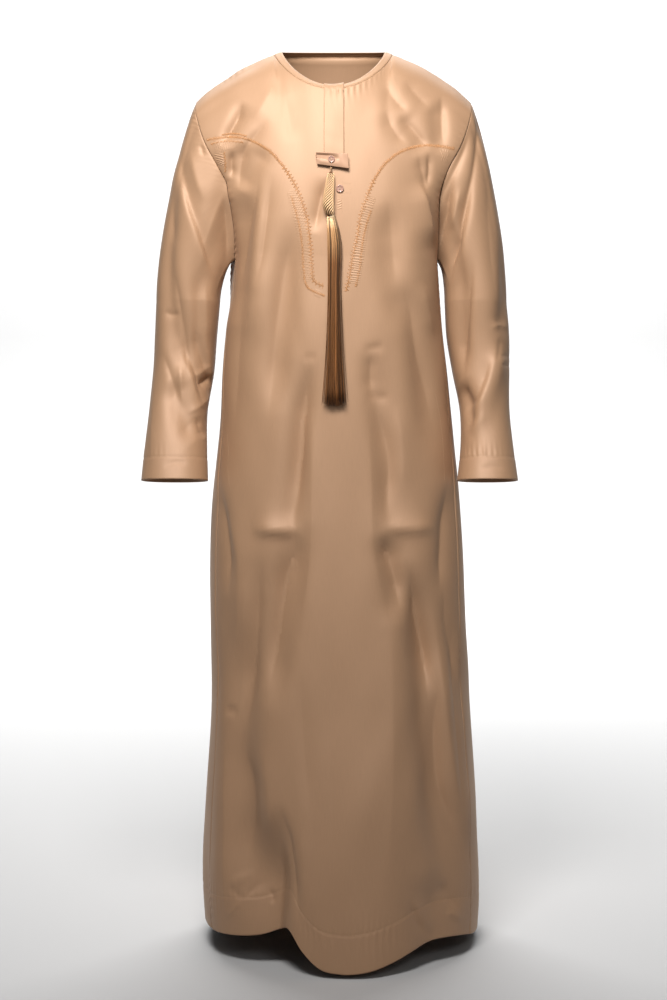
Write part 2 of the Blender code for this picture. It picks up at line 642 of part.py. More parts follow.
def cloth_grids():
    """Grids of the sewn pieces through the middle of their cloth, with shared points along every seam."""
    front_count = 2 * SHOULDER_STEPS + FRONT_NECK_STEPS
    back_count = 2 * SHOULDER_STEPS + BACK_NECK_STEPS
    counts = [front_count, 2 * GORE_STEPS, back_count, 2 * GORE_STEPS]
    body = skirt(counts, SKIRT_STEPS)
    around = np.concatenate([body, body[:, :1]], axis=1)
    ends = np.cumsum([0] + counts)
    names = ["front_panel", "side_gore_left", "back_panel", "side_gore_right"]
    pieces = {name: around[:, a : b + 1].copy() for name, a, b in zip(names, ends, ends[1:])}

    turns = np.linspace(0, 1, YOKE_STEPS + 1) ** 1.06
    rises = np.sin(turns * math.pi / 2)
    uppers = [
        ("front_panel", ARMHOLE_FRONT, -1, FRONT_NECK_STEPS),
        ("back_panel", ARMHOLE_BACK, 1, BACK_NECK_STEPS),
    ]
    for name, table, side, neck_steps in uppers:
        grid = pieces[name]
        first = armhole_edge(table, grid[-1, 0], rises, side)
        last = armhole_edge(table, grid[-1, -1], rises, -side)
        top = top_edge(name == "front_panel", neck_steps)
        pieces[name] = np.concatenate([grid[:-1], yoke(grid[-1], first, last, top, turns)])

    directions = wall_directions(pieces)
    for name, grid in pieces.items():
        pieces[name] = grid + directions[name] * body_folds(grid)[..., None]

    front, back = pieces["front_panel"], pieces["back_panel"]
    sides = [
        ("sleeve_left", 1, front[:, -1], pieces["side_gore_left"][-1], back[:, 0]),
        ("sleeve_right", -1, front[:, 0], pieces["side_gore_right"][-1, ::-1], back[:, -1]),
    ]
    for name, side, front_edge, underarm, back_edge in sides:
        ring = np.concatenate([front_edge[: SKIRT_STEPS - 1 : -1], underarm[1:-1], back_edge[SKIRT_STEPS:-1]])
        grid = sleeve(ring, SLEEVES[name], side, CAP_STEPS, SLEEVE_STEPS)
        directions = grid_normals(grid, True) * side
        grid = grid + directions * sleeve_folds(grid, SLEEVE_FOLDS[name])[..., None]
        pieces[name] = grid if side > 0 else grid[:, ::-1]

    front_neck = front[-1, SHOULDER_STEPS:-SHOULDER_STEPS]
    back_neck = back[-1, SHOULDER_STEPS + 1 : -SHOULDER_STEPS - 1]
    angles = np.linspace(math.pi, 0, FRONT_NECK_STEPS + 1)
    angles = np.concatenate([angles, np.linspace(0, -math.pi, BACK_NECK_STEPS + 1)[1:-1]])
    pieces["neckband"] = np.stack([np.concatenate([front_neck, back_neck]), neck_curve(angles, 0.0)])
    return pieces


def placket_grid(pieces, surface):
    """Places of the placket's strip in front of the chest, from its foot up over the neckband."""
    seam, neckline = pieces["front_panel"][-1], pieces["neckband"][1, : FRONT_NECK_STEPS + 1]
    columns = np.linspace(PLACKET_LEFT, PLACKET_RIGHT, 5)
    at_seam = np.interp(columns, seam[:, 0], seam[:, 2])
    at_neckline = np.interp(columns, neckline[:, 0], neckline[:, 2])
    rows = [PLACKET_BOTTOM + (at_seam - PLACKET_BOTTOM) * share for share in np.linspace(0, 1, 12)]
    rows += [at_seam + (at_neckline - at_seam) * share for share in (0.45, 0.90)]
    return np.array([[(x, chest_depth(surface, x, z), z) for x, z in zip(columns, row)] for row in rows])


def tab_grid(base):
    """A flattened loop of cloth that stands on the placket, pinched at its middle by the button."""
    x0, z0 = TAB_CENTRE
    angles = np.linspace(-math.pi, math.pi, 25)[:-1]
    across, out = superellipse(angles, 5.0)
    rows = []
    for share in (-1, -0.33, 0.33, 1):
        pinch = 1 - 0.30 * np.exp(-((across / 0.35) ** 2))
        depth = base - LAY_GAP - TAB_CLOTH / 2 - TAB_DEPTH / 2 * (1 - np.where(out < 0, out * pinch, out))
        height = np.full_like(across, z0 + TAB_HALF_HEIGHT * share)
        rows.append(np.stack([x0 + TAB_HALF_WIDTH * across, depth, height], axis=-1))
    return np.stack(rows)


def button(name, place, direction, material):
    """A dished button, turned about its own axis and laid against the cloth."""
    r, t = BUTTON_RADIUS, BUTTON_THICKNESS
    dish = [(0, t * 0.55), (r * 0.60, t * 0.55), (r * 0.76, t)]
    rim = [(r * 0.92, t), (r, t * 0.70), (r, t * 0.30), (r * 0.85, 0), (0, 0)]
    mesh = bpy.data.meshes.new(name)
    bm = bmesh.new()
    points = [bm.verts.new((x, 0, z)) for x, z in dish + rim]
    for a, b in zip(points, points[1:]):
        bm.edges.new((a, b))
    bm.to_mesh(mesh)
    bm.free()
    mesh.materials.append(material)
    obj = bpy.data.objects.new(name, mesh)
    turn = obj.modifiers.new("Turn", "SCREW")
    turn.steps = 24
    turn.render_steps = 24
    turn.use_merge_vertices = True
    turn.merge_threshold = 0.00001
    turn.use_smooth_shade = True
    obj.location = place
    obj.rotation_mode = "QUATERNION"
    obj.rotation_quaternion = Vector(direction).to_track_quat("Z", "Y")
    return obj


def hang_depth(surface, x, height, reach, behind):
    """How far forward a hanging thing lies at a place, clear of the cloth behind it."""
    near = [(x + side * reach, height + up) for side in (-1, 0, 1) for up in (-0.006, 0, 0.006)]
    return min(chest_depth(surface, *spot) for spot in near) - LAY_GAP - behind


def tassel_cord(surface, neck_depth, material):
    """The tassel's twisted head: strands that wind round it from a narrow neck down to the fringe."""
    count = 2 * CORD_RIDGES
    bottom = CORD[-1].height
    heights = np.concatenate([[row.height for row in CORD[:3]], np.linspace(1.2820, 1.2180, 13), [bottom]])
    radii = np.interp(heights, [row.height for row in CORD[::-1]], [row.radius for row in CORD[::-1]])
    places = column(CORD[::-1], "height", "x", heights)
    vertices = []
    for height, radius, place in zip(heights, radii, places):
        depth = neck_depth
        if height < CORD_NECK:
            depth = min(neck_depth, hang_depth(surface, place, height, radius, radius * (1 + CORD_RELIEF)))
        for i in range(count):
            turned = CORD_TURNS * (height - bottom) / (CORD[0].height - bottom)
            angle = 2 * math.pi * (i / count + turned)
            r = radius * (1 + (CORD_RELIEF if i % 2 else -CORD_RELIEF))
            vertices.append((place + r * math.cos(angle), depth + r * math.sin(angle), height))
    faces = []
    for k in range(len(heights) - 1):
        for i in range(count):
            j = (i + 1) % count
            faces.append((k * count + i, (k + 1) * count + i, (k + 1) * count + j, k * count + j))
    last = (len(heights) - 1) * count
    faces.append(tuple(range(count)))
    faces.append(tuple(last + i for i in reversed(range(count))))
    obj = join_mesh("tassel_cord", vertices, faces, material)
    shade(obj)
    return obj


def disc_point(u, v):
    """A point of a square carried onto a disc."""
    return u * math.sqrt(1 - v * v / 2), v * math.sqrt(1 - u * u / 2)


def tassel_fringe(depths, material):
    """The tassel's strands, which leave a small bound head and hang apart from each other."""
    rng = np.random.default_rng(7)
    across, deep = 2 * FRINGE_ACROSS + 1, 2 * FRINGE_DEEP + 1
    root = FRINGE[0]
    vertices, faces = [], []

    def spot(i, j, height):
        u, v = disc_point(2 * i / across - 1, 2 * j / deep - 1)
        return root.x + FRINGE_HALF_WIDTH * u, depths[0] + FRINGE_HALF_DEPTH * v, height

    for height in (root.height, root.height - FRINGE_HEAD):
        vertices += [spot(i, j, height) for j in range(deep + 1) for i in range(across + 1)]
    wide = across + 1
    under = wide * (deep + 1)
    border = [i for i in range(across)] + [across + wide * j for j in range(deep)]
    border += [wide * deep + i for i in range(across, 0, -1)] + [wide * j for j in range(deep, 0, -1)]
    faces.append(tuple(border))
    for a, b in zip(border, border[1:] + border[:1]):
        faces.append((b, a, a + under, b + under))
    for j in range(deep):
        for i in range(across):
            a = under + wide * j + i
            cell = (a, a + wide, a + wide + 1, a + 1)
            if i % 2 == 0 or j % 2 == 0:
                faces.append(cell)
                continue
            corners = np.array([vertices[k] for k in cell])
            centre = corners.mean(axis=0)
            sway = rng.uniform(-1, 1, 3) * (0.0009, 0.0005, 0.0040)
            ring = cell
            for level, (depth, place) in enumerate(zip(depths[1:], FRINGE[1:]), 1):
                t = level / (len(FRINGE) - 1)
                x = place.x + (centre[0] - root.x) * place.spread + sway[0] * t
                y = depth + (centre[1] - depths[0]) * (1 + 0.5 * t) + sway[1] * t
                z = place.height + sway[2] * max(0, 4 * t - 3)
                size = 1.0 - 0.25 * t
                start = len(vertices)
                vertices += [
                    (x + (p[0] - centre[0]) * size, y + (p[1] - centre[1]) * size, z) for p in corners
                ]
                following = tuple(start + k for k in range(4))
                for k in range(4):
                    m = (k + 1) % 4
                    faces.append((ring[k], ring[m], following[m], following[k]))
                ring = following
            faces.append(ring)
    obj = join_mesh("tassel_fringe", vertices, faces, material)
    return obj


def material(name, colour, roughness, sheen=0.0):
    """A Principled material of one colour."""
    made = bpy.data.materials.new(name)
    made.use_nodes = True
    shader = made.node_tree.nodes["Principled BSDF"]
    shader.inputs["Base Color"].default_value = (*colour, 1.0)
    shader.inputs["Roughness"].default_value = roughness
    shader.inputs["Metallic"].default_value = 0.0
    shader.inputs["Sheen Weight"].default_value = sheen
    made.diffuse_color = (*colour, 1.0)
    return made


def main():
    for obj in list(bpy.data.objects):
        bpy.data.objects.remove(obj, do_unlink=True)
    robe = bpy.data.collections.new("Thobe robe")
    bpy.context.scene.collection.children.link(robe)
    floor = bpy.data.objects.new("floor_height", None)
    floor.location = (0, 0, -ORIGIN_HEIGHT)
    robe.objects.link(floor)
    made = []

    pieces = cloth_grids()
    directions = wall_directions(pieces)
    for name, grid in pieces.items():
        closed = name in CLOSED
        moved = draw_back(grid, directions[name], SEWN[name], closed)
        cloth = material(name + "_satin", CLOTH_COLOUR, 0.42, 0.25)
        made.append(wall(name, moved, directions[name], CLOTH, cloth, closed))

    skins = []
    for name in ("front_panel", "neckband"):
        skins.append((pieces[name] + directions[name] * CLOTH / 2, name in CLOSED))
    surface = surface_under(skins)

    strip = placket_grid(pieces, surface)
    out = grid_normals(strip, False)
    strip = strip + out * (LAY_GAP + CLOTH / 2)
    cloth = material("placket_satin", CLOTH_COLOUR, 0.42, 0.25)
    made.append(wall("placket", strip, out, CLOTH, cloth))
    surface = surface_under(skins + [(strip + out * CLOTH / 2, False)])

    x0, z0 = TAB_CENTRE
    spots = [(a, b) for a in np.linspace(-1, 1, 17) for b in np.linspace(-1, 1, 17)]
    base = min(chest_depth(surface, x0 + TAB_HALF_WIDTH * a, z0 + TAB_HALF_HEIGHT * b) for a, b in spots)
    tab = tab_grid(base)
    cloth = material("tab_satin", CLOTH_COLOUR, 0.42, 0.25)
    made.append(wall("tab", tab, grid_normals(tab, True), TAB_CLOTH, cloth, True))

    shell = material("button_upper_shell", BUTTON_COLOUR, 0.25)
    front = min(float(tab[1, :, 1].min()), base) + 0.30 * TAB_DEPTH - TAB_CLOTH / 2
    made.append(button("button_upper", (UPPER_BUTTON[0], front - 0.0012, UPPER_BUTTON[1]), (0, -1, 0), shell))
    x, z = LOWER_BUTTON
    spots = [(x + BUTTON_RADIUS * math.cos(a), z + BUTTON_RADIUS * math.sin(a)) for a in np.linspace(0, 6, 9)]
    rest = min(chest_depth(surface, *spot) for spot in spots + [LOWER_BUTTON])
    shell = material("button_lower_shell", BUTTON_COLOUR, 0.25)
    made.append(button("button_lower", (x, rest - 0.0005, z), (0, -1, 0), shell))

    neck_depth = base - LAY_GAP - TAB_CLOTH / 2 - TAB_DEPTH / 2
    made.append(tassel_cord(surface, neck_depth, material("tassel_cord_thread", CORD_COLOUR, 0.55)))
    depths = []
    for level, place in zip(np.linspace(0, 1, len(FRINGE)), FRINGE):
        behind = FRINGE_HALF_DEPTH * (1 + 0.5 * level) + 0.0012 * level
        reach = FRINGE_HALF_WIDTH * place.spread + 0.0010
        depths.append(min([hang_depth(surface, place.x, place.height, reach, behind)] + depths[-1:]))
    made.append(tassel_fringe(depths, material("tassel_fringe_thread", THREAD_COLOUR, 0.60)))

    for obj in made:
        robe.objects.link(obj)
        obj.parent = floor


main()
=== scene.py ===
"""The looks of a long-sleeved thobe robe: satin cloth, stitching, embroidery, buttons and a tassel.

Frame: +X to the robe's own left, -Y to the front, +Z up, metres, with the origin between the shoulders.
The tables give heights above the floor under the hem, as the solids' own tables do.
"""

import math
from collections import namedtuple

import bpy
import numpy as np
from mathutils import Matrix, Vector
from mathutils.bvhtree import BVHTree


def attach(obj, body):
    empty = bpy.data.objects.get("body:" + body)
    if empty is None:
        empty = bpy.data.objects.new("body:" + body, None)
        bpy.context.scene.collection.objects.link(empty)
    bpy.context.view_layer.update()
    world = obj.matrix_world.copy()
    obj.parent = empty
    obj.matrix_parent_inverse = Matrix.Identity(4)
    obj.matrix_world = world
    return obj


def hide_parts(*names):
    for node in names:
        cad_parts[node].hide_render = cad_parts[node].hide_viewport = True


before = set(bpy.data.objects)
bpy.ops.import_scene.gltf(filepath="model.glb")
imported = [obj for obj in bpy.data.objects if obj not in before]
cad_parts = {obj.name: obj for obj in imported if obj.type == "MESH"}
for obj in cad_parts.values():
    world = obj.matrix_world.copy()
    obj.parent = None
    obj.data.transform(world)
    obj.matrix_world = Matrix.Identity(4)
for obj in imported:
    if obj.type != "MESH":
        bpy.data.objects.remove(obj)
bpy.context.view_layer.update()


def rows_of(kind, rows):
    """The rows of a table, with a name for each column."""
    return [kind(*row) for row in rows]


def in_metres(*millimetres):
    """Places in metres, from a run of millimetres across and up by turns."""
    return np.reshape(millimetres, (-1, 2)) / 1000


def creases(*rows):
    """Creases from rows of the reach to the left, to the right, the depth, and places in millimetres."""
    return [Crease(in_metres(*row[3:]), *row[:3]) for row in rows]


# Driving sizes of the robe, as in its solids
ORIGIN_HEIGHT = 1.495
ARMPIT_HEIGHT = 1.150
SHOULDER_TIP = (0.237, 0.008, 1.4215)
NECK_POINT = (0.0880, 0.000, 1.508)
NECK_DEPTH_FRONT = 0.075
NECK_DEPTH_BACK = 0.060
NECK_DROP_FRONT = 0.068
NECK_RISE_BACK = 0.010
NECKBAND_WIDTH = 0.013
GORE_HALF_TOP = 0.020
GORE_FLARE = 0.083
HEM_BACK = 0.010
HEM_TURN = 0.060
CUFF_TURN = 0.040

# The shown cloth and its grid steps
CLOTH = 0.0010
SHOULDER_STEPS = 60
FRONT_NECK_STEPS = 132
BACK_NECK_STEPS = 44
GORE_STEPS = 16
SKIRT_STEPS = 200
YOKE_STEPS = 160
RING_STRIDE = 2
CAP_STEPS = 60
SLEEVE_STEPS = 148
DENSE = 361
NECK_SOFTNESS = 16.0
NECKBAND_STEPS = 10

# The camera's place, its lens and its shift, which look level at the robe from in front of it
CAMERA_DISTANCE = 3.2
CAMERA_HEIGHT = 0.95
CAMERA_LENS = 67.05
CAMERA_SHIFT = -0.123

# How far the studio's floor lies below the height that the tables count from
FLOOR_GAP = 0.004

# Cross-sections of the body below the arms: reach to each side, the front and the back, and squareness
Section = namedtuple("Section", "height left right front back power")
BODY = rows_of(Section, (
    (0.000, 0.2170, 0.2450, 0.246, 0.188, 2.2), (0.100, 0.2235, 0.2485, 0.232, 0.178, 2.2),
    (0.215, 0.2200, 0.2440, 0.215, 0.168, 2.2), (0.390, 0.2110, 0.2340, 0.188, 0.155, 2.2),
    (0.560, 0.2115, 0.2260, 0.165, 0.146, 2.2), (0.690, 0.2100, 0.2200, 0.150, 0.143, 2.2),
    (0.770, 0.2050, 0.2140, 0.142, 0.140, 2.2), (0.860, 0.1950, 0.2040, 0.137, 0.134, 2.25),
    (0.945, 0.1910, 0.1960, 0.134, 0.126, 2.3), (1.050, 0.1820, 0.1840, 0.131, 0.121, 2.5),
    (1.150, 0.1775, 0.1770, 0.127, 0.122, 2.9),
))

# The front hem's height at each place across it: lifted in two places, lowest in the middle
HemPoint = namedtuple("HemPoint", "x height")
HEM_FRONT = rows_of(HemPoint, (
    (-0.230, 0.030), (-0.205, 0.034), (-0.165, 0.040), (-0.130, 0.048), (-0.095, 0.062),
    (-0.072, 0.066), (-0.050, 0.036), (-0.025, 0.012), (0.010, 0.003), (0.050, 0.005), (0.090, 0.016),
    (0.130, 0.030), (0.175, 0.037), (0.210, 0.032), (0.250, 0.012),
))

# Armhole edges of the front and back: rise from the armpit (0) to the shoulder tip (1), reach out, depth
Edge = namedtuple("Edge", "rise out depth")
ARMHOLE_FRONT = rows_of(Edge, (
    (0.00, 0.1765, -0.020), (0.10, 0.1770, -0.037), (0.24, 0.1780, -0.052), (0.40, 0.1800, -0.064),
    (0.55, 0.1930, -0.068), (0.70, 0.2150, -0.062), (0.85, 0.2300, -0.045), (0.96, 0.2365, -0.020),
    (1.00, 0.2370, 0.008),
))
ARMHOLE_BACK = rows_of(Edge, (
    (0.00, 0.1765, 0.020), (0.10, 0.1775, 0.039), (0.26, 0.1790, 0.058), (0.44, 0.1840, 0.072),
    (0.60, 0.1970, 0.074), (0.76, 0.2160, 0.063), (0.90, 0.2310, 0.042), (0.97, 0.2360, 0.026),
    (1.00, 0.2370, 0.008),
))

# The shoulder ridge between the neck and the shoulder tip
Ridge = namedtuple("Ridge", "out depth height")
SHOULDER = rows_of(Ridge, (
    (0.0880, 0.000, 1.5080), (0.1250, 0.002, 1.4946), (0.1600, 0.004, 1.4780), (0.1890, 0.006, 1.4600),
    (0.2150, 0.007, 1.4420), (0.2370, 0.008, 1.4215),
))

# Cross-sections of each sleeve from the upper arm to the cuff
ArmSection = namedtuple("ArmSection", "height inner outer middle half_depth tilt")
SLEEVE_RIGHT_OF_VIEW = rows_of(ArmSection, (
    (1.080, 0.1910, 0.2980, 0.004, 0.072, 0.00), (1.015, 0.1950, 0.3020, 0.007, 0.070, 0.00),
    (0.960, 0.2040, 0.3015, 0.002, 0.068, -0.02), (0.890, 0.2160, 0.3000, -0.020, 0.063, -0.06),
    (0.830, 0.2150, 0.3040, -0.047, 0.060, -0.09), (0.776, 0.2080, 0.3090, -0.074, 0.058, -0.11),
))
SLEEVE_LEFT_OF_VIEW = rows_of(ArmSection, (
    (1.080, 0.1950, 0.3040, 0.004, 0.072, 0.00), (1.015, 0.2010, 0.3070, 0.007, 0.070, 0.00),
    (0.960, 0.2050, 0.3090, 0.002, 0.068, -0.02), (0.890, 0.2150, 0.3140, -0.020, 0.063, -0.06),
    (0.830, 0.2140, 0.3190, -0.047, 0.060, -0.09), (0.776, 0.2110, 0.3220, -0.074, 0.058, -0.11),
))
SLEEVES = {"sleeve_left": SLEEVE_RIGHT_OF_VIEW, "sleeve_right": SLEEVE_LEFT_OF_VIEW}
SLEEVE_SQUARENESS = 2.3

# Folds: a line in the front view from its top to its bottom, its reach to each side, and its depth.
# A positive depth stands out as a ridge, and a negative one lies back as a trough. Bow bends the line.
Fold = namedtuple("Fold", "x0 z0 x1 z1 left_reach right_reach depth bow")
FRONT_FOLDS = rows_of(Fold, (
    (-0.150, 1.345, -0.190, 1.255, 0.016, 0.020, -0.006, 0.000),
    (-0.112, 1.335, -0.160, 1.260, 0.020, 0.018, -0.006, 0.000),
    (0.175, 1.420, 0.180, 1.320, 0.016, 0.016, -0.006, 0.000),
    (0.115, 1.400, 0.155, 1.320, 0.018, 0.018, -0.004, 0.000),
    (-0.150, 1.275, -0.168, 1.030, 0.030, 0.030, -0.009, 0.000),
    (-0.120, 1.290, -0.138, 0.990, 0.018, 0.024, 0.006, 0.000),
    (-0.070, 1.220, -0.098, 0.880, 0.024, 0.024, -0.009, 0.000),
    (0.075, 1.240, 0.120, 1.020, 0.028, 0.028, -0.007, 0.000),
    (0.130, 1.120, 0.170, 0.800, 0.024, 0.024, -0.006, 0.000),
    (-0.040, 0.990, -0.078, 0.640, 0.024, 0.018, -0.011, 0.000),
    (0.055, 1.010, 0.098, 0.640, 0.022, 0.030, -0.009, 0.010),
    (-0.050, 0.720, -0.110, 0.400, 0.032, 0.024, -0.014, 0.000),
    (-0.140, 0.600, -0.120, 0.040, 0.034, 0.034, -0.016, -0.030),
    (-0.182, 0.520, -0.188, 0.000, 0.016, 0.024, 0.008, 0.000),
    (0.085, 0.700, 0.110, 0.540, 0.026, 0.026, -0.008, 0.000),
    (0.145, 0.650, 0.200, 0.080, 0.030, 0.030, -0.018, -0.012),
    (0.185, 0.520, 0.222, 0.150, 0.020, 0.022, 0.010, -0.006),
    (0.050, 0.420, 0.060, -0.250, 0.070, 0.070, 0.010, 0.000),
    (-0.098, 0.260, -0.104, -0.200, 0.055, 0.022, -0.034, 0.000),
    (0.160, 0.160, 0.175, -0.100, 0.040, 0.032, -0.014, 0.000),
))
BACK_FOLDS = rows_of(Fold, (
    (-0.120, 1.330, -0.060, 1.120, 0.026, 0.026, -0.007, 0.000),
    (0.125, 1.320, 0.070, 1.100, 0.026, 0.026, -0.007, 0.000),
    (-0.130, 1.050, -0.110, 0.520, 0.034, 0.030, -0.012, 0.010),
    (-0.035, 1.120, -0.045, 0.500, 0.030, 0.034, -0.010, 0.000),
    (0.060, 1.080, 0.050, 0.420, 0.030, 0.030, -0.012, 0.000),
    (0.140, 1.000, 0.135, 0.500, 0.028, 0.032, -0.010, -0.008),
    (-0.155, 0.620, -0.165, -0.200, 0.034, 0.034, -0.020, 0.000),
    (-0.075, 0.700, -0.085, -0.200, 0.036, 0.036, -0.022, 0.000),
    (0.010, 0.660, 0.012, -0.200, 0.034, 0.034, -0.020, 0.000),
    (0.095, 0.600, 0.105, -0.200, 0.036, 0.036, -0.022, 0.000),
    (0.175, 0.640, 0.190, -0.200, 0.032, 0.032, -0.018, 0.000),
    (-0.120, 0.500, -0.125, -0.200, 0.030, 0.030, 0.012, 0.000),
    (0.050, 0.500, 0.055, -0.200, 0.030, 0.030, 0.012, 0.000),
))
FOLD_FADE = 0.28

# Folds of a sleeve: place round it in turns (0 top, 0.25 front, 0.5 armpit side), and down it from the
# armhole (0) to the cuff (1), at both ends of the fold, its reach and its depth
ArmFold = namedtuple("ArmFold", "turn0 down0 turn1 down1 reach_turn depth")
SLEEVE_FOLDS_LEFT = rows_of(ArmFold, (
    (0.10, 0.10, 0.28, 0.62, 0.050, -0.009), (0.30, 0.16, 0.34, 0.55, 0.050, -0.007),
    (0.42, 0.52, 0.30, 0.60, 0.060, -0.010), (0.20, 0.60, 0.36, 0.86, 0.050, -0.008),
    (0.62, 0.20, 0.70, 0.60, 0.060, -0.008), (0.86, 0.30, 0.80, 0.85, 0.050, -0.006),
))
SLEEVE_FOLDS_RIGHT = rows_of(ArmFold, (
    (0.34, 0.10, 0.36, 0.60, 0.060, -0.009), (0.12, 0.46, 0.36, 0.84, 0.045, 0.008),
    (0.04, 0.20, 0.16, 0.44, 0.050, -0.006), (0.42, 0.62, 0.32, 0.80, 0.050, -0.009),
    (0.62, 0.20, 0.70, 0.60, 0.060, -0.008), (0.86, 0.30, 0.80, 0.85, 0.050, -0.006),
))
SLEEVE_FOLDS = {"sleeve_left": SLEEVE_FOLDS_RIGHT, "sleeve_right": SLEEVE_FOLDS_LEFT}

# Placket, tab, buttons and tassel on the chest
PLACKET_LEFT = -0.0160
PLACKET_RIGHT = 0.0172
PLACKET_BOTTOM = 1.2995
TAB_MIDDLE = (-0.0018, 1.3093)
TAB_HALF_WIDTH = 0.0264
TAB_HALF_HEIGHT = 0.0112
TAB_HALF_DEPTH = 0.0015
UPPER_BUTTON = (-0.0033, 1.3098)
UPPER_BUTTON_RADIUS = 0.0057
LOWER_BUTTON = (0.0106, 1.2613)
LOWER_BUTTON_RADIUS = 0.0064
BUTTON_THICKNESS = 0.0024
CORD_RIDGES = 11
CORD_TURNS = -1.57
CORD_NECK = 1.2880
FRINGE_HALF_WIDTH = 0.0066
FRINGE_HALF_DEPTH = 0.0042
FRINGE_THREADS = 330
FRINGE_LOCKS = 18

# The twisted cord's radius and place across the chest down its length, its narrow neck first
CordRing = namedtuple("CordRing", "height radius x")
CORD = rows_of(CordRing, (
    (1.2965, 0.0018, -0.0042), (1.2885, 0.0018, -0.0041), (1.2868, 0.0045, -0.0041),
    (1.2815, 0.0060, -0.0046), (1.2750, 0.0068, -0.0053), (1.2650, 0.0078, -0.0063),
    (1.2535, 0.0087, -0.0076), (1.2420, 0.0094, -0.0086), (1.2337, 0.0096, -0.0086),
    (1.2271, 0.0090, -0.0079), (1.2205, 0.0072, -0.0061), (1.2150, 0.0045, -0.0044),
))

# The hanging fringe: how far its strands spread from their roots, and its place across the chest
FringeRing = namedtuple("FringeRing", "height spread x")
FRINGE = rows_of(FringeRing, (
    (1.2145, 1.00, -0.0036), (1.1820, 1.55, 0.0010), (1.1000, 1.55, 0.0016), (1.0000, 2.00, 0.0016),
    (0.9050, 2.90, 0.0020),
))

# The rows of the skirt: how close together they lie at each height above the hem
RowStep = namedtuple("RowStep", "height step")
SKIRT_ROWS = rows_of(RowStep, (
    (0.000, 0.0015), (0.012, 0.0040), (0.052, 0.0022), (0.066, 0.0022), (0.085, 0.0070),
    (0.720, 0.0070), (1.000, 0.0048), (1.150, 0.0034),
))

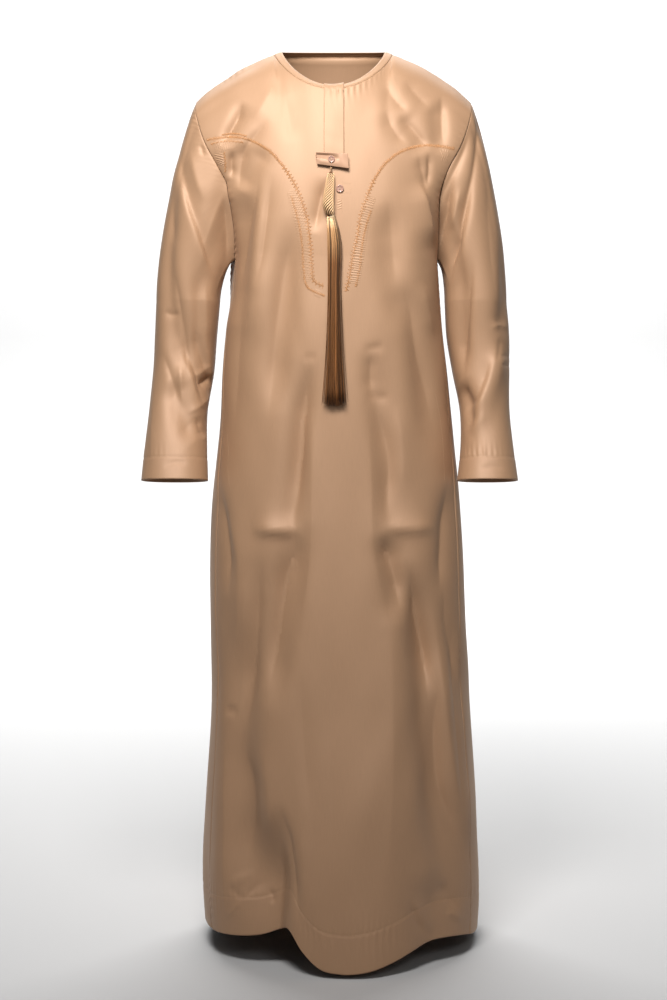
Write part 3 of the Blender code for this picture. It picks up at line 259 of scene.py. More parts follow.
# Finer creases: the reach to the left and right of a line, the depth, and the line's places in millimetres.
# A ridge's depth is positive. Those of the front and sleeves are placed as the camera sees them: across, and
# up from the floor.
Crease = namedtuple("Crease", "line left right depth")
FRONT_CREASES = creases(
    (0.0072, 0.0137, -0.0099, -155, 1426, -167, 1397, -180, 1373, -195, 1343),
    (0.0079, 0.0137, -0.0056, -110, 1398, -131, 1371, -146, 1354, -156, 1337, -161, 1316, -163, 1264),
    (0.0069, 0.0069, -0.0068, -173, 1342, -176, 1323, -176, 1288),
    (0.0344, 0.0112, -0.0070, -129, 1319, -132, 1280, -146, 1221, -158, 1139, -165, 1074),
    (0.0103, 0.0155, -0.0068, -105, 1302, -113, 1249, -124, 1166, -136, 1098),
    (0.0155, 0.0206, -0.0060, -69, 1263, -70, 1194, -82, 1139, -91, 1082, -100, 1010, -105, 957, -110,
     897, -117, 838),
    (0.0069, 0.0086, -0.0031, -113, 1498, -144, 1481, -175, 1462, -196, 1443),
    (0.0155, 0.0155, -0.0023, -84, 1440, -77, 1400, -72, 1349),
    (0.0137, 0.0137, 0.0023, -100, 1457, -124, 1412, -141, 1388),
    (0.0120, 0.0103, -0.0076, -12, 1295, -24, 1249, -34, 1194),
    (0.0103, 0.0086, -0.0034, 89, 1453, 108, 1426, 131, 1402),
    (0.0137, 0.0077, -0.0042, 88, 1412, 102, 1380, 116, 1361, 134, 1347),
    (0.0137, 0.0069, -0.0044, 112, 1398, 136, 1377, 151, 1359, 165, 1338),
    (0.0120, 0.0086, -0.0031, 120, 1460, 146, 1432, 168, 1410),
    (0.0069, 0.0077, -0.0036, 186, 1440, 186, 1398, 188, 1340),
    (0.0103, 0.0069, -0.0042, 144, 1333, 155, 1297, 160, 1261),
    (0.0045, 0.0058, -0.0042, 163, 1337, 165, 1306, 162, 1275),
    (0.0206, 0.0069, 0.0076, 144, 1292, 155, 1261, 163, 1221, 173, 1168),
    (0.0155, 0.0189, -0.0042, 93, 1268, 101, 1185, 108, 1099),
    (0.0137, 0.0103, 0.0031, 151, 1118, 162, 1065, 175, 1015),
    (0.0155, 0.0120, -0.0055, 119, 1117, 133, 1060, 145, 986, 160, 924, 168, 859),
    (0.0086, 0.0137, -0.0031, -156, 1099, -162, 1014, -168, 910, -174, 842),
    (0.0155, 0.0077, -0.0070, -39, 983, -43, 953, -50, 897, -55, 838, -60, 778, -65, 730, -77, 697),
    (0.0069, 0.0058, -0.0013, -55, 981, -40, 984, -26, 979),
    (0.0069, 0.0155, 0.0018, -36, 945, -37, 859, -37, 773, -40, 636, -53, 532, -64, 460),
    (0.0086, 0.0069, -0.0020, 48, 993, 69, 1000, 91, 1003),
    (0.0120, 0.0103, -0.0039, 65, 996, 64, 959, 65, 917),
    (0.0086, 0.0069, -0.0020, 52, 921, 76, 916, 100, 914),
    (0.0155, 0.0137, -0.0070, 65, 914, 82, 868, 95, 809, 93, 742, 88, 697),
    (0.0155, 0.0086, 0.0018, 55, 910, 62, 842, 65, 773, 70, 636, 86, 567, 96, 490),
    (0.0155, 0.0155, 0.0029, 107, 910, 117, 842, 120, 739),
    (0.0086, 0.0189, 0.0080, -146, 686, -113, 686, -79, 685, -48, 688),
    (0.0292, 0.0103, -0.0100, -48, 680, -76, 620, -88, 551, -100, 477, -112, 409),
    (0.0241, 0.0172, -0.0133, -124, 656, -134, 550, -144, 429, -149, 335),
    (0.0103, 0.0120, 0.0026, -151, 636, -156, 498, -162, 361),
    (0.0155, 0.0137, 0.0034, -124, 326, -113, 240, -107, 137),
    (0.0137, 0.0103, -0.0068, 203, 567, 210, 429, 220, 292, 227, 154),
    (0.0103, 0.0103, -0.0076, -198, 770, -187, 704, -180, 642, -182, 567),
    (0.0137, 0.0275, 0.0046, -192, 773, -177, 699, -163, 642, -163, 584, -166, 507, -177, 429, -186, 385),
    (0.0052, 0.0041, -0.0036, -188, 380, -177, 377, -163, 375),
    (0.0069, 0.0155, 0.0034, -184, 371, -187, 292, -188, 137, -191, 8),
    (0.0086, 0.0172, 0.0068, 76, 687, 100, 689, 131, 688, 184, 692),
    (0.0137, 0.0172, -0.0106, 77, 684, 91, 654, 103, 615, 117, 546),
    (0.0155, 0.0112, -0.0152, 129, 636, 143, 567, 155, 481, 163, 395),
    (0.0155, 0.0120, -0.0080, 186, 447, 179, 404, 173, 357, 175, 292, 182, 240, 196, 203, 211, 160, 235,
     125),
    (0.0120, 0.0120, 0.0030, 160, 589, 178, 498, 189, 417, 196, 357, 211, 266, 234, 161),
    (0.0086, 0.0103, -0.0045, 189, 610, 194, 522, 206, 477, 218, 416, 225, 330),
    (0.0120, 0.0120, -0.0085, 198, 773, 192, 721, 187, 636, 182, 567),
    (0.0206, 0.0137, -0.0075, -160, 335, -151, 299, -139, 208, -143, 146, -153, 106),
    (0.0241, 0.0069, -0.0070, -101, 230, -88, 192, -79, 163, -71, 115, -64, 53, -60, 0),
    (0.0086, 0.0258, 0.0029, -58, 189, -52, 103, -48, 0),
    (0.0045, 0.0058, 0.0023, -186, 75, -162, 86, -129, 99),
    (0.0045, 0.0045, -0.0021, -153, 53, -132, 75, -108, 84),
    (0.0045, 0.0052, -0.0018, -182, 79, -168, 63, -151, 55),
    (0.0038, 0.0045, 0.0016, -187, 17, -156, 53),
    (0.0041, 0.0041, -0.0018, -113, 72, -103, 57, -107, 43),
    (0.0086, 0.0120, 0.0034, 136, 58, 149, 24, 168, -9),
    (0.0086, 0.0069, -0.0031, 129, 51, 141, 20, 158, -10),
    (0.0120, 0.0120, -0.0044, 179, 86, 198, 60, 218, 34),
    (0.0052, 0.0069, 0.0023, 192, 32, 210, 24, 222, 14),
    (0.0309, 0.0344, 0.0066, 100, 567, 100, 395, 100, 223, 89, 51),
    (0.0344, 0.0309, -0.0034, -3, 567, -7, 395, -3, 223, 7, 86),
    (0.0172, 0.0172, -0.0029, -58, 455, -52, 326, -38, 172),
)
SLEEVE_CREASES = {
    "sleeve_right": creases(
        (0.0189, 0.0052, 0.0036, -267, 1343, -262, 1292, -251, 1242, -236, 1201, -217, 1146, -201, 1108),
        (0.0038, 0.0172, -0.0055, -264, 1347, -259, 1292, -247, 1242, -232, 1201, -213, 1146, -196, 1103),
        (0.0086, 0.0120, 0.0031, -247, 1345, -235, 1287, -220, 1244),
        (0.0069, 0.0103, -0.0026, -270, 1295, -276, 1246, -275, 1199, -270, 1165),
        (0.0034, 0.0034, -0.0026, -229, 1352, -223, 1328),
        (0.0137, 0.0069, -0.0065, -191, 1278, -184, 1228, -181, 1177, -186, 1137),
        (0.0069, 0.0120, -0.0045, -277, 1148, -263, 1058, -254, 1003, -249, 935),
        (0.0120, 0.0120, 0.0042, -220, 1122, -220, 1057, -218, 993),
        (0.0103, 0.0069, 0.0028, -208, 972, -220, 964, -232, 955, -247, 948),
        (0.0069, 0.0086, -0.0072, -206, 953, -220, 943, -235, 935),
        (0.0086, 0.0058, 0.0036, -263, 979, -262, 935, -258, 895),
        (0.0077, 0.0077, 0.0026, -208, 924, -222, 907, -237, 895, -254, 885),
        (0.0086, 0.0086, -0.0044, -235, 885, -229, 864, -220, 843),
        (0.0069, 0.0069, -0.0021, -292, 1065, -278, 1057, -263, 1060),
        (0.0069, 0.0103, -0.0031, -296, 998, -280, 953, -263, 898),
        (0.0052, 0.0120, 0.0020, -303, 996, -308, 923, -312, 842, -312, 778),
        (0.0052, 0.0052, -0.0013, -294, 794, -273, 804, -247, 801),
    ),
    "sleeve_left": creases(
        (0.0086, 0.0069, -0.0045, 236, 1386, 227, 1345, 208, 1304, 186, 1263, 177, 1230),
        (0.0058, 0.0058, -0.0042, 241, 1419, 248, 1398, 249, 1377, 247, 1342, 238, 1288, 227, 1240),
        (0.0155, 0.0055, -0.0114, 241, 1302, 229, 1240, 213, 1180, 196, 1110),
        (0.0103, 0.0086, -0.0114, 208, 1299, 194, 1246, 184, 1189, 182, 1154),
        (0.0058, 0.0069, 0.0029, 218, 1278, 210, 1240, 198, 1199),
        (0.0172, 0.0062, -0.0048, 229, 1168, 235, 1153, 232, 1086, 226, 1003, 221, 928),
        (0.0137, 0.0137, -0.0031, 267, 1309, 266, 1249, 271, 1166, 280, 1074),
        (0.0103, 0.0120, 0.0032, 280, 1031, 277, 979, 266, 941, 247, 895, 227, 852),
        (0.0103, 0.0058, -0.0036, 268, 986, 258, 945, 241, 907, 223, 876),
        (0.0069, 0.0069, 0.0023, 268, 1032, 284, 1039, 302, 1032),
        (0.0069, 0.0069, -0.0020, 287, 1022, 285, 996, 280, 972),
        (0.0052, 0.0052, -0.0012, 287, 988, 306, 984),
        (0.0052, 0.0052, -0.0012, 287, 972, 306, 969),
        (0.0052, 0.0052, -0.0013, 247, 790, 271, 797, 299, 792),
    ),
}

# Embroidered rows and the cloth drawn up beside them, by lines of the camera's view as above: the width and
# the spacing of an embroidered row's threads; the wave length along a strip, its height and, where it is
# crossed like a lattice, the wave length across the strip. Lines are in millimetres, and sizes in metres.
EmbroideredRow = namedtuple("EmbroideredRow", "line width pitch")
RippledStrip = namedtuple("RippledStrip", "line far_line wave depth lattice")
EMBROIDERY = [
    EmbroideredRow(in_metres(*row[2:]), *row[:2]) for row in (
        (0.0034, 0.00105, -218, 1357, -196, 1361, -168, 1362, -149, 1359, -132, 1352, -106, 1335,
         -86, 1312),
        (0.0052, 0.00105, -86, 1312, -66, 1280, -55, 1252, -45, 1218, -40, 1180, -37, 1137, -34, 1115,
         -17, 1106),
        (0.0026, 0.00105, -211, 1350, -186, 1355, -155, 1353),
        (0.0024, 0.00105, -192, 1366, -172, 1368, -149, 1364),
        (0.0026, 0.00105, -188, 1336, -186, 1319, -186, 1302),
        (0.0038, 0.00105, 208, 1342, 192, 1345, 163, 1348, 138, 1345, 112, 1335, 88, 1316, 70, 1290),
        (0.0052, 0.00105, 70, 1290, 57, 1258, 46, 1223, 40, 1185, 34, 1163, 30, 1137, 26, 1115,
         21, 1097),
        (0.0030, 0.00140, -72, 1261, -60, 1216, -54, 1179, -51, 1134, -45, 1105, -15, 1089),
        (0.0030, 0.00140, 64, 1237, 55, 1206, 49, 1175, 45, 1137, 38, 1105),
    )
]
RIPPLES = [
    RippledStrip(
        in_metres(-65, 1285, -51, 1249, -43, 1218, -38, 1180, -34, 1137, -34, 1113),
        in_metres(-83, 1271, -76, 1244, -68, 1210, -62, 1175, -58, 1134, -53, 1103),
        0.0044, 0.00050, 0.0052,
    ),
    RippledStrip(
        in_metres(58, 1271, 50, 1249, 41, 1216, 34, 1185, 28, 1137, 22, 1108),
        in_metres(76, 1261, 69, 1237, 62, 1206, 57, 1175, 51, 1134, 45, 1103),
        0.0040, 0.00042, 0.0000,
    ),
    RippledStrip(
        in_metres(-151, 1357, -175, 1359, -192, 1359, -210, 1354),
        in_metres(-165, 1342, -182, 1338, -198, 1333, -208, 1333),
        0.0042, 0.00060, 0.0060,
    ),
    RippledStrip(
        in_metres(-191, 1340, -188, 1326, -187, 1306),
        in_metres(-210, 1340, -203, 1325, -194, 1309),
        0.0042, 0.00070, 0.0000,
    ),
    RippledStrip(
        in_metres(179, 1343, 194, 1343, 206, 1340),
        in_metres(182, 1323, 192, 1316, 198, 1314),
        0.0040, 0.00065, 0.0070,
    ),
    RippledStrip(
        in_metres(-36, 1106, -26, 1101, -15, 1098),
        in_metres(-40, 1093, -28, 1086, -15, 1082),
        0.0042, 0.00040, 0.0050,
    ),
    RippledStrip(
        in_metres(5, 1261, 6, 1246, 6, 1232),
        in_metres(14, 1261, 15, 1246, 15, 1232),
        0.0040, 0.00045, 0.0000,
    ),
]

# Machine stitching of the pockets and placket, by the same view
STITCH_LINES = [
    ((-0.1821, 0.8521), (-0.1804, 0.8211), (-0.1813, 0.7902), (-0.1770, 0.7558)),
    ((0.1753, 0.9208), (0.1821, 0.8847), (0.1873, 0.8418), (0.1907, 0.7730)),
    ((0.0155, 1.2833), (0.0301, 1.2833)),
    ((0.0301, 1.2833), (0.0301, 1.2662)),
    ((0.0301, 1.2662), (0.0155, 1.2662)),
    ((0.0137, 1.3057), (0.0146, 1.2713), (0.0146, 1.2335)),
]

# Creases of the hidden sides: across the back, and out from the middle for both sleeves, by true height
BACK_CREASES = creases(
    (0.010, 0.014, -0.0040, -190, 1400, -150, 1330, -130, 1250),
    (0.012, 0.009, -0.0040, 195, 1390, 160, 1320, 135, 1230),
    (0.016, 0.012, -0.0025, -60, 1440, -40, 1360, -35, 1250),
    (0.012, 0.016, -0.0025, 50, 1435, 45, 1350, 60, 1260),
    (0.009, 0.016, -0.0045, -100, 1130, -112, 960, -90, 800),
    (0.014, 0.009, -0.0040, 20, 1080, 30, 930, 20, 780),
    (0.009, 0.014, -0.0045, 115, 1060, 100, 900, 120, 740),
    (0.006, 0.012, 0.0025, -120, 800, -50, 780, 20, 800),
    (0.006, 0.012, 0.0025, 40, 790, 110, 775, 160, 800),
    (0.010, 0.014, -0.0050, -110, 650, -120, 450, -115, 200),
    (0.012, 0.010, -0.0045, -20, 620, -30, 400, -20, 150),
    (0.010, 0.014, -0.0050, 65, 600, 70, 380, 80, 120),
    (0.012, 0.010, -0.0045, 150, 560, 160, 350, 175, 100),
    (0.005, 0.005, 0.0018, -70, 140, -50, 90, -20, 60),
    (0.005, 0.005, 0.0018, 100, 150, 120, 90, 150, 50),
)
SLEEVE_BACK_CREASES = creases(
    (0.006, 0.010, -0.0040, 235, 1330, 225, 1250, 240, 1150),
    (0.008, 0.008, 0.0025, 270, 1280, 262, 1180, 270, 1090),
    (0.006, 0.008, -0.0040, 240, 1060, 262, 1030, 290, 1020),
    (0.006, 0.008, 0.0035, 236, 1000, 262, 985, 290, 990),
    (0.008, 0.008, -0.0025, 255, 960, 262, 900, 258, 840),
)

# The share of its length over which a crease fades in at each end
CREASE_FADE = 0.36

# Fields for the flat size and area that a sheet of cloth is cut to, measured on the cloth as it hangs, in
# metres, with held and rests_on; no sheet is listed in this script
SheetCut = namedtuple("SheetCut", "width length area held rests_on")

# Depths of the grooves and puckers at the seams and at the hem's stitching, and of the stitching's groove
SEAM_GROOVE = 0.0005
SIDE_PUCKER = 0.0006
HEM_PUCKER = 0.0006
STITCH_GROOVE_WIDTH = 0.0016

# Sizes of the threads, in radius, and of the stitches
SEWING_RADIUS = 0.00020
EMBROIDERY_RADIUS = 0.00040
BUTTON_THREAD_RADIUS = 0.00032
SEAM_PITCH = 0.0031
NECKBAND_PITCH = 0.0028
POCKET_PITCH = 0.0030
PLACKET_PITCH = 0.0029
CROSSED_PITCH = 0.0031
DRAWING_STEP = 0.0015
RIPPLE_STEP = 0.0009

# Pieces whose grids run all the way round
CLOSED = ("sleeve_left", "sleeve_right", "neckband")


def curve(knots, values, places):
    """A smooth curve through values at rising knots, read at the given places."""
    knots, values = np.asarray(knots, float), np.asarray(values, float)
    slopes = np.gradient(values, knots)
    places = np.clip(places, knots[0], knots[-1])
    i = np.clip(np.searchsorted(knots, places) - 1, 0, len(knots) - 2)
    step = knots[i + 1] - knots[i]
    t = (places - knots[i]) / step
    start = (1 + 2 * t) * (1 - t) ** 2 * values[i] + t * (1 - t) ** 2 * step * slopes[i]
    end = t * t * (3 - 2 * t) * values[i + 1] + t * t * (t - 1) * step * slopes[i + 1]
    return start + end


def column(table, key, name, places):
    """One named column of a table, read along its key column."""
    return curve([getattr(row, key) for row in table], [getattr(row, name) for row in table], places)


def ease(t):
    """A smooth step from 0 to 1."""
    t = np.clip(t, 0, 1)
    return t * t * (3 - 2 * t)


def unit(vectors):
    """Vectors brought to a length of one."""
    return vectors / np.maximum(np.linalg.norm(vectors, axis=-1, keepdims=True), 1e-12)


def run_length(points):
    """Length along a line of points, from the first one."""
    return np.concatenate([[0], np.cumsum(np.linalg.norm(np.diff(points, axis=0), axis=1))])


def read_along(places, length, points):
    """Points at places along a line, whose own points have the given lengths."""
    return np.stack([np.interp(places, length, axis) for axis in points.T], axis=1)


def drift(along, length, rng):
    """A slow wave along a line, from a random phase."""
    return np.sin(along / length + rng.uniform(0, 6))


def superellipse(angle, squareness):
    """Cosine and sine of an angle, pushed out towards a rectangle."""
    c, s = np.cos(angle), np.sin(angle)
    power = 2 / squareness
    return np.sign(c) * np.abs(c) ** power, np.sign(s) * np.abs(s) ** power


def outline(height):
    """The body's level outline as dense points from the middle of its left side, with their lengths."""
    row = {name: float(column(BODY, "height", name, height)) for name in Section._fields[1:]}
    angle = np.linspace(-math.pi, math.pi, 4 * DENSE)
    across, along = superellipse(angle, row["power"])
    x = across * np.where(across < 0, row["left"], row["right"])
    y = along * np.where(along < 0, row["front"], row["back"])
    length = np.concatenate([[0], np.cumsum(np.hypot(np.diff(x), np.diff(y)))])
    return x, y, length, float(np.interp(0, angle, length))


def body_loop(height, counts):
    """One level loop of the body from the front left seam, by way of the front, right side and back."""
    x, y, length, right_side = outline(height)
    gore = GORE_HALF_TOP + GORE_FLARE * (ARMPIT_HEIGHT - height)
    marks = [gore, right_side - gore, right_side + gore, length[-1] - gore, length[-1] + gore]
    places = [np.linspace(a, b, n + 1)[:-1] for a, b, n in zip(marks, marks[1:], counts)]
    places = np.concatenate(places) % length[-1]
    return np.stack([np.interp(places, length, x), np.interp(places, length, y)], axis=1)


def hem_height(x, y):
    """Height of the hem below a point of the lowest loop."""
    front = column(HEM_FRONT, "x", "height", x)
    return front + (HEM_BACK - front) * ease((y + 0.060) / 0.120)


def skirt_rows(steps):
    """Shares of the way up the skirt at which its rows lie, close together where its table says so."""
    places = np.linspace(0, ARMPIT_HEIGHT, 600)
    spacing = np.interp(places, [row.height for row in SKIRT_ROWS], [row.step for row in SKIRT_ROWS])
    total = np.concatenate([[0], np.cumsum(1 / spacing[1:])])
    return np.interp(np.linspace(0, total[-1], steps + 1), total, places) / ARMPIT_HEIGHT


def skirt(counts, steps):
    """Closed grid of the body from the hem (row 0) up to the armpits, a column for each place round it."""
    levels = np.linspace(0, ARMPIT_HEIGHT, 47)
    loops = np.stack([body_loop(level, counts) for level in levels])
    hem = hem_height(loops[0, :, 0], loops[0, :, 1])
    share = skirt_rows(steps)
    heights = hem[None, :] + (ARMPIT_HEIGHT - hem[None, :]) * share[:, None]
    grid = np.empty(heights.shape + (3,))
    for c in range(heights.shape[1]):
        grid[:, c, 0] = np.interp(heights[:, c], levels, loops[:, c, 0])
        grid[:, c, 1] = np.interp(heights[:, c], levels, loops[:, c, 1])
    grid[:, :, 2] = heights
    return grid


def neck_curve(angle, widen):
    """A point of the neckline by its angle from the +X shoulder round by the front, moved out by widen."""
    c, s = np.cos(angle), np.sin(angle)
    front = s > 0
    x = (NECK_POINT[0] + widen) * c
    y = np.where(front, -(NECK_DEPTH_FRONT + widen * 0.9) * s, -(NECK_DEPTH_BACK + widen * 0.9) * s)
    drop = np.where(front, (NECK_DROP_FRONT + 0.55 * widen) * np.abs(s) ** 1.5, -NECK_RISE_BACK * np.abs(s))
    drop = drop + widen * (0.36 * c * c + np.where(front, 0.0, 0.45) * np.abs(s))
    return np.stack([x, y, NECK_POINT[2] - drop], axis=-1)


def ridge_curve(share):
    """Points of the shoulder seam at +X, from the neckband (0) to the shoulder tip (1)."""
    start = NECK_POINT[0] + NECKBAND_WIDTH
    out = start + (SHOULDER_TIP[0] - start) * share
    depth = column(SHOULDER, "out", "depth", out)
    height = column(SHOULDER, "out", "height", out)
    points = np.stack([out, depth, height], axis=-1)
    neck = neck_curve(np.array(0.0), NECKBAND_WIDTH)
    blend = (1 - share)[:, None] ** 3
    return points + blend * (neck - points[np.argmin(share)])


def top_edge(front, neck_steps):
    """The upper edge of the front or back panel, in the order of its columns."""
    shoulder = ridge_curve(np.linspace(1, 0, SHOULDER_STEPS + 1))
    angles = np.linspace(math.pi, 0, neck_steps + 1) if front else np.linspace(0, -math.pi, neck_steps + 1)
    neck = neck_curve(angles, NECKBAND_WIDTH)
    mirrored = shoulder * [-1, 1, 1]
    first, last = (mirrored, shoulder[::-1]) if front else (shoulder, mirrored[::-1])
    return np.concatenate([first[:-1], neck, last[1:]])


def armhole_edge(table, corner, rises, side):
    """Points up an armhole edge from the armpit corner to the shoulder tip."""
    out = column(table, "rise", "out", rises)
    depth = column(table, "rise", "depth", rises)
    height = ARMPIT_HEIGHT + (SHOULDER_TIP[2] - ARMPIT_HEIGHT) * rises
    points = np.stack([side * out, depth, height], axis=-1)
    return points + ((1 - rises) ** 4)[:, None] * (corner - points[0])


def yoke(bottom, first_edge, last_edge, top, turns):
    """Rows of a panel between the armpit level and its upper edge, rolling over to the shoulders."""
    x, y, length, right_side = outline(ARMPIT_HEIGHT)
    in_front = bottom[len(bottom) // 2, 1] < 0
    half = length <= right_side if in_front else length >= right_side
    x, y, length = x[half], y[half], length[half]
    middle = length[len(length) // 2]
    low_y = np.interp(bottom[:, 0], *((x, y) if in_front else (x[::-1], y[::-1])))
    rolled = np.arccos(np.clip(top[:, 1] / low_y, 0, 0.9))
    fold = SHOULDER_TIP[1]
    rows = []
    numbers = np.arange(len(top))
    corner = top
    for turn, first, last in zip(turns, first_edge, last_edge):
        spread = NECK_SOFTNESS * (1 - math.sin(turn * math.pi / 2)) ** 0.35 + 0.01
        share = np.exp(-(((numbers[:, None] - numbers) / spread) ** 2))
        share /= share.sum(axis=1, keepdims=True)
        top, roll = share @ corner, share @ rolled
        shrink = max(math.cos(turn * math.pi / 2), 0.15)
        marks = []
        for edge, on_side in ((first, length < middle), (last, length > middle)):
            wanted = abs(fold + (edge[1] - fold) / shrink)
            order = np.argsort(np.abs(y[on_side]))
            marks.append(float(np.interp(wanted, np.abs(y[on_side])[order], length[on_side][order])))
        if turn == 0:
            low = bottom
        else:
            places = np.linspace(*marks, len(bottom))
            low = np.stack([np.interp(places, length, x), np.interp(places, length, y)], axis=1)
        rise = np.sin(turn * roll) / np.sin(roll)
        lean = (1 - np.cos(turn * roll)) / (1 - np.cos(roll))
        row = np.stack([
            low[:, 0] + (top[:, 0] - low[:, 0]) * rise,
            low[:, 1] + (top[:, 1] - low[:, 1]) * lean,
            ARMPIT_HEIGHT + (top[:, 2] - ARMPIT_HEIGHT) * rise,
        ], axis=1)
        place = np.linspace(-1, 1, len(bottom))
        row += np.where(place < 0, np.abs(place) ** 4, 0)[:, None] * (first - row[0])
        row += np.where(place > 0, np.abs(place) ** 4, 0)[:, None] * (last - row[-1])
        rows.append(row)
    return np.stack(rows)


def sleeve(ring, table, side, steps_cap, steps_arm):
    """Rows of a sleeve from the armhole ring down to the cuff; the ring runs top, front, armpit, back."""
    count = len(ring)
    turn = run_length(ring)
    turn = turn / (turn[-1] + np.linalg.norm(ring[0] - ring[-1]))
    armpit = turn[count // 2]
    lean = math.pi * np.where(turn < armpit, turn / armpit, 1 + (turn - armpit) / (1 - armpit))
    angle = 2 * math.pi * np.arange(count) / count

    def section(height):
        row = {name: float(column(table[::-1], "height", name, height)) for name in ArmSection._fields[1:]}
        across, along = superellipse(angle, SLEEVE_SQUARENESS)
        half = (row["outer"] - row["inner"]) / 2
        x = side * ((row["outer"] + row["inner"]) / 2 + half * across)
        y = row["middle"] - row["half_depth"] * along
        return np.stack([x, y, height + row["tilt"] * (y - row["middle"])], axis=-1)

    top, cuff = table[0].height, table[-1].height
    first = section(top)
    outward, forward = np.cos(lean), np.sin(lean)
    above = ease(outward)[:, None]
    below = ease(-outward)[:, None]
    facing = 1 - above - below
    still = np.ones(count)
    leave = above * [side * 0.45, 0, -0.90] + below * [side * 1.0, 0, -0.10]
    leave = leave + facing * np.stack([side * 0.42 * still, -0.08 * forward, -0.90 * still], axis=-1)
    reach = np.linalg.norm(first - ring, axis=1)[:, None]
    leave = unit(leave) * (above * 0.42 + below * 0.45 + facing * 0.75) * reach
    arrive = np.array([0, 0, -1.0]) * (above * 0.95 + below * 0.80 + facing * 0.85) * reach
    rows = []
    for t in np.linspace(0, 1, steps_cap + 1):
        rows.append(
            (1 + 2 * t) * (1 - t) ** 2 * ring
            + t * (1 - t) ** 2 * leave
            + t * t * (3 - 2 * t) * first
            + t * t * (t - 1) * arrive
        )
    rows += [section(height) for height in np.linspace(top, cuff, steps_arm + 1)[1:]]
    return np.stack(rows)


def directions_along(grid, axis, closed):
    """Directions along the rows or columns of a grid, the mean of those to both neighbours."""
    if closed:
        after = unit(np.roll(grid, -1, axis) - grid)
        return unit(after + np.roll(after, 1, axis))
    steps = unit(np.diff(grid, axis=axis))
    first, last = np.take(steps, [0], axis), np.take(steps, [-1], axis)
    return unit(np.concatenate([first, steps], axis) + np.concatenate([steps, last], axis))


def grid_normals(grid, closed):
    """Outward normals of a grid whose columns run to the right seen from outside, and whose rows run up."""
    return unit(np.cross(directions_along(grid, 1, closed), directions_along(grid, 0, False)))


def fold_amount(x, z, folds):
    """How far the folds move a point of the cloth out, from its place in the front view."""
    total = np.zeros_like(x)
    for fold in folds:
        along_x, along_z = fold.x1 - fold.x0, fold.z1 - fold.z0
        length = math.hypot(along_x, along_z)
        t = ((x - fold.x0) * along_x + (z - fold.z0) * along_z) / length**2
        away = ((x - fold.x0) * -along_z + (z - fold.z0) * along_x) / length
        away = away - fold.bow * 4 * np.clip(t, 0, 1) * (1 - np.clip(t, 0, 1))
        reach = np.where(away < 0, fold.left_reach, fold.right_reach)
        ends = ease(t / FOLD_FADE) * ease((1 - t) / FOLD_FADE)
        total += fold.depth * np.exp(-((away / reach) ** 2)) * ends
    return total


def body_folds(grid):
    """How far the folds move the points of a body panel out."""
    x, y, z = grid[..., 0], grid[..., 1], grid[..., 2]
    in_front = ease((0.030 - y) / 0.060)
    front = fold_amount(x, z, FRONT_FOLDS)
    back = fold_amount(x, z, BACK_FOLDS)
    return front * in_front + back * (1 - in_front)


def sleeve_folds(grid, folds):
    """How far the folds move the points of a sleeve out."""
    rows, count = grid.shape[:2]
    turn = np.broadcast_to(np.arange(count)[None, :] / count, (rows, count))
    down = np.broadcast_to(np.linspace(0, 1, rows)[:, None], (rows, count))
    total = np.zeros((rows, count))
    for fold in folds:
        run_turn, run_down = fold.turn1 - fold.turn0, fold.down1 - fold.down0
        t = ((turn - fold.turn0) * run_turn + (down - fold.down0) * run_down) / (run_turn**2 + run_down**2)
        away = (turn - (fold.turn0 + run_turn * np.clip(t, 0, 1)) + 0.5) % 1 - 0.5
        ends = ease(t / FOLD_FADE) * ease((1 - t) / FOLD_FADE)
        total += fold.depth * np.exp(-((away / fold.reach_turn) ** 2)) * ends
    return total


def seen(points):
    """Where points appear from the camera, as places across and up on the plane through the shoulders."""
    scale = CAMERA_DISTANCE / (CAMERA_DISTANCE + points[..., 1])
    return points[..., 0] * scale, CAMERA_HEIGHT + (points[..., 2] - CAMERA_HEIGHT) * scale


def smooth_line(points, count):
    """A line through a few points, drawn with many and without corners, and its length so far at each."""
    points = np.array(points, float)
    knots = run_length(points)
    places = np.linspace(0, knots[-1], count)
    if len(points) < 3:
        line = read_along(places, knots, points)
    else:
        line = np.stack([curve(knots, axis, places) for axis in points.T], axis=1)
    return line, run_length(line)


def line_distance(across, height, line, length):
    """Distance of places from a line, positive on its right when it runs down, and the length along it."""
    nearest = np.full(across.shape, np.inf)
    along = np.zeros(across.shape)
    side = np.ones(across.shape)
    for p, q, start in zip(line, line[1:], length):
        dx, dz = q - p
        step = math.hypot(dx, dz)
        t = np.clip(((across - p[0]) * dx + (height - p[1]) * dz) / step**2, 0, 1)
        ex, ez = across - p[0] - t * dx, height - p[1] - t * dz
        distance = np.hypot(ex, ez)
        closer = distance < nearest
        nearest = np.where(closer, distance, nearest)
        along = np.where(closer, start + t * step, along)
        side = np.where(closer, np.where(dx * ez - dz * ex < 0, -1.0, 1.0), side)
    return nearest * side, along


def crease_amount(across, height, creases):
    """How far the creases move points of the cloth out, from their places in a view."""
    total = np.zeros(across.shape)
    for crease in creases:
        line, length = smooth_line(crease.line, 3 * len(crease.line))
        reach = 3 * max(crease.left, crease.right)
        low, high = line.min(axis=0) - reach, line.max(axis=0) + reach
        near = (across > low[0]) & (across < high[0]) & (height > low[1]) & (height < high[1])
        if not near.any():
            continue
        away, along = line_distance(across[near], height[near], line, length)
        width = np.where(away < 0, crease.left, crease.right)
        fade = CREASE_FADE * length[-1]
        ends = ease(along / fade) * ease((length[-1] - along) / fade)
        total[near] += crease.depth * np.exp(-((np.abs(away) / width) ** 1.35)) * ends
    return total


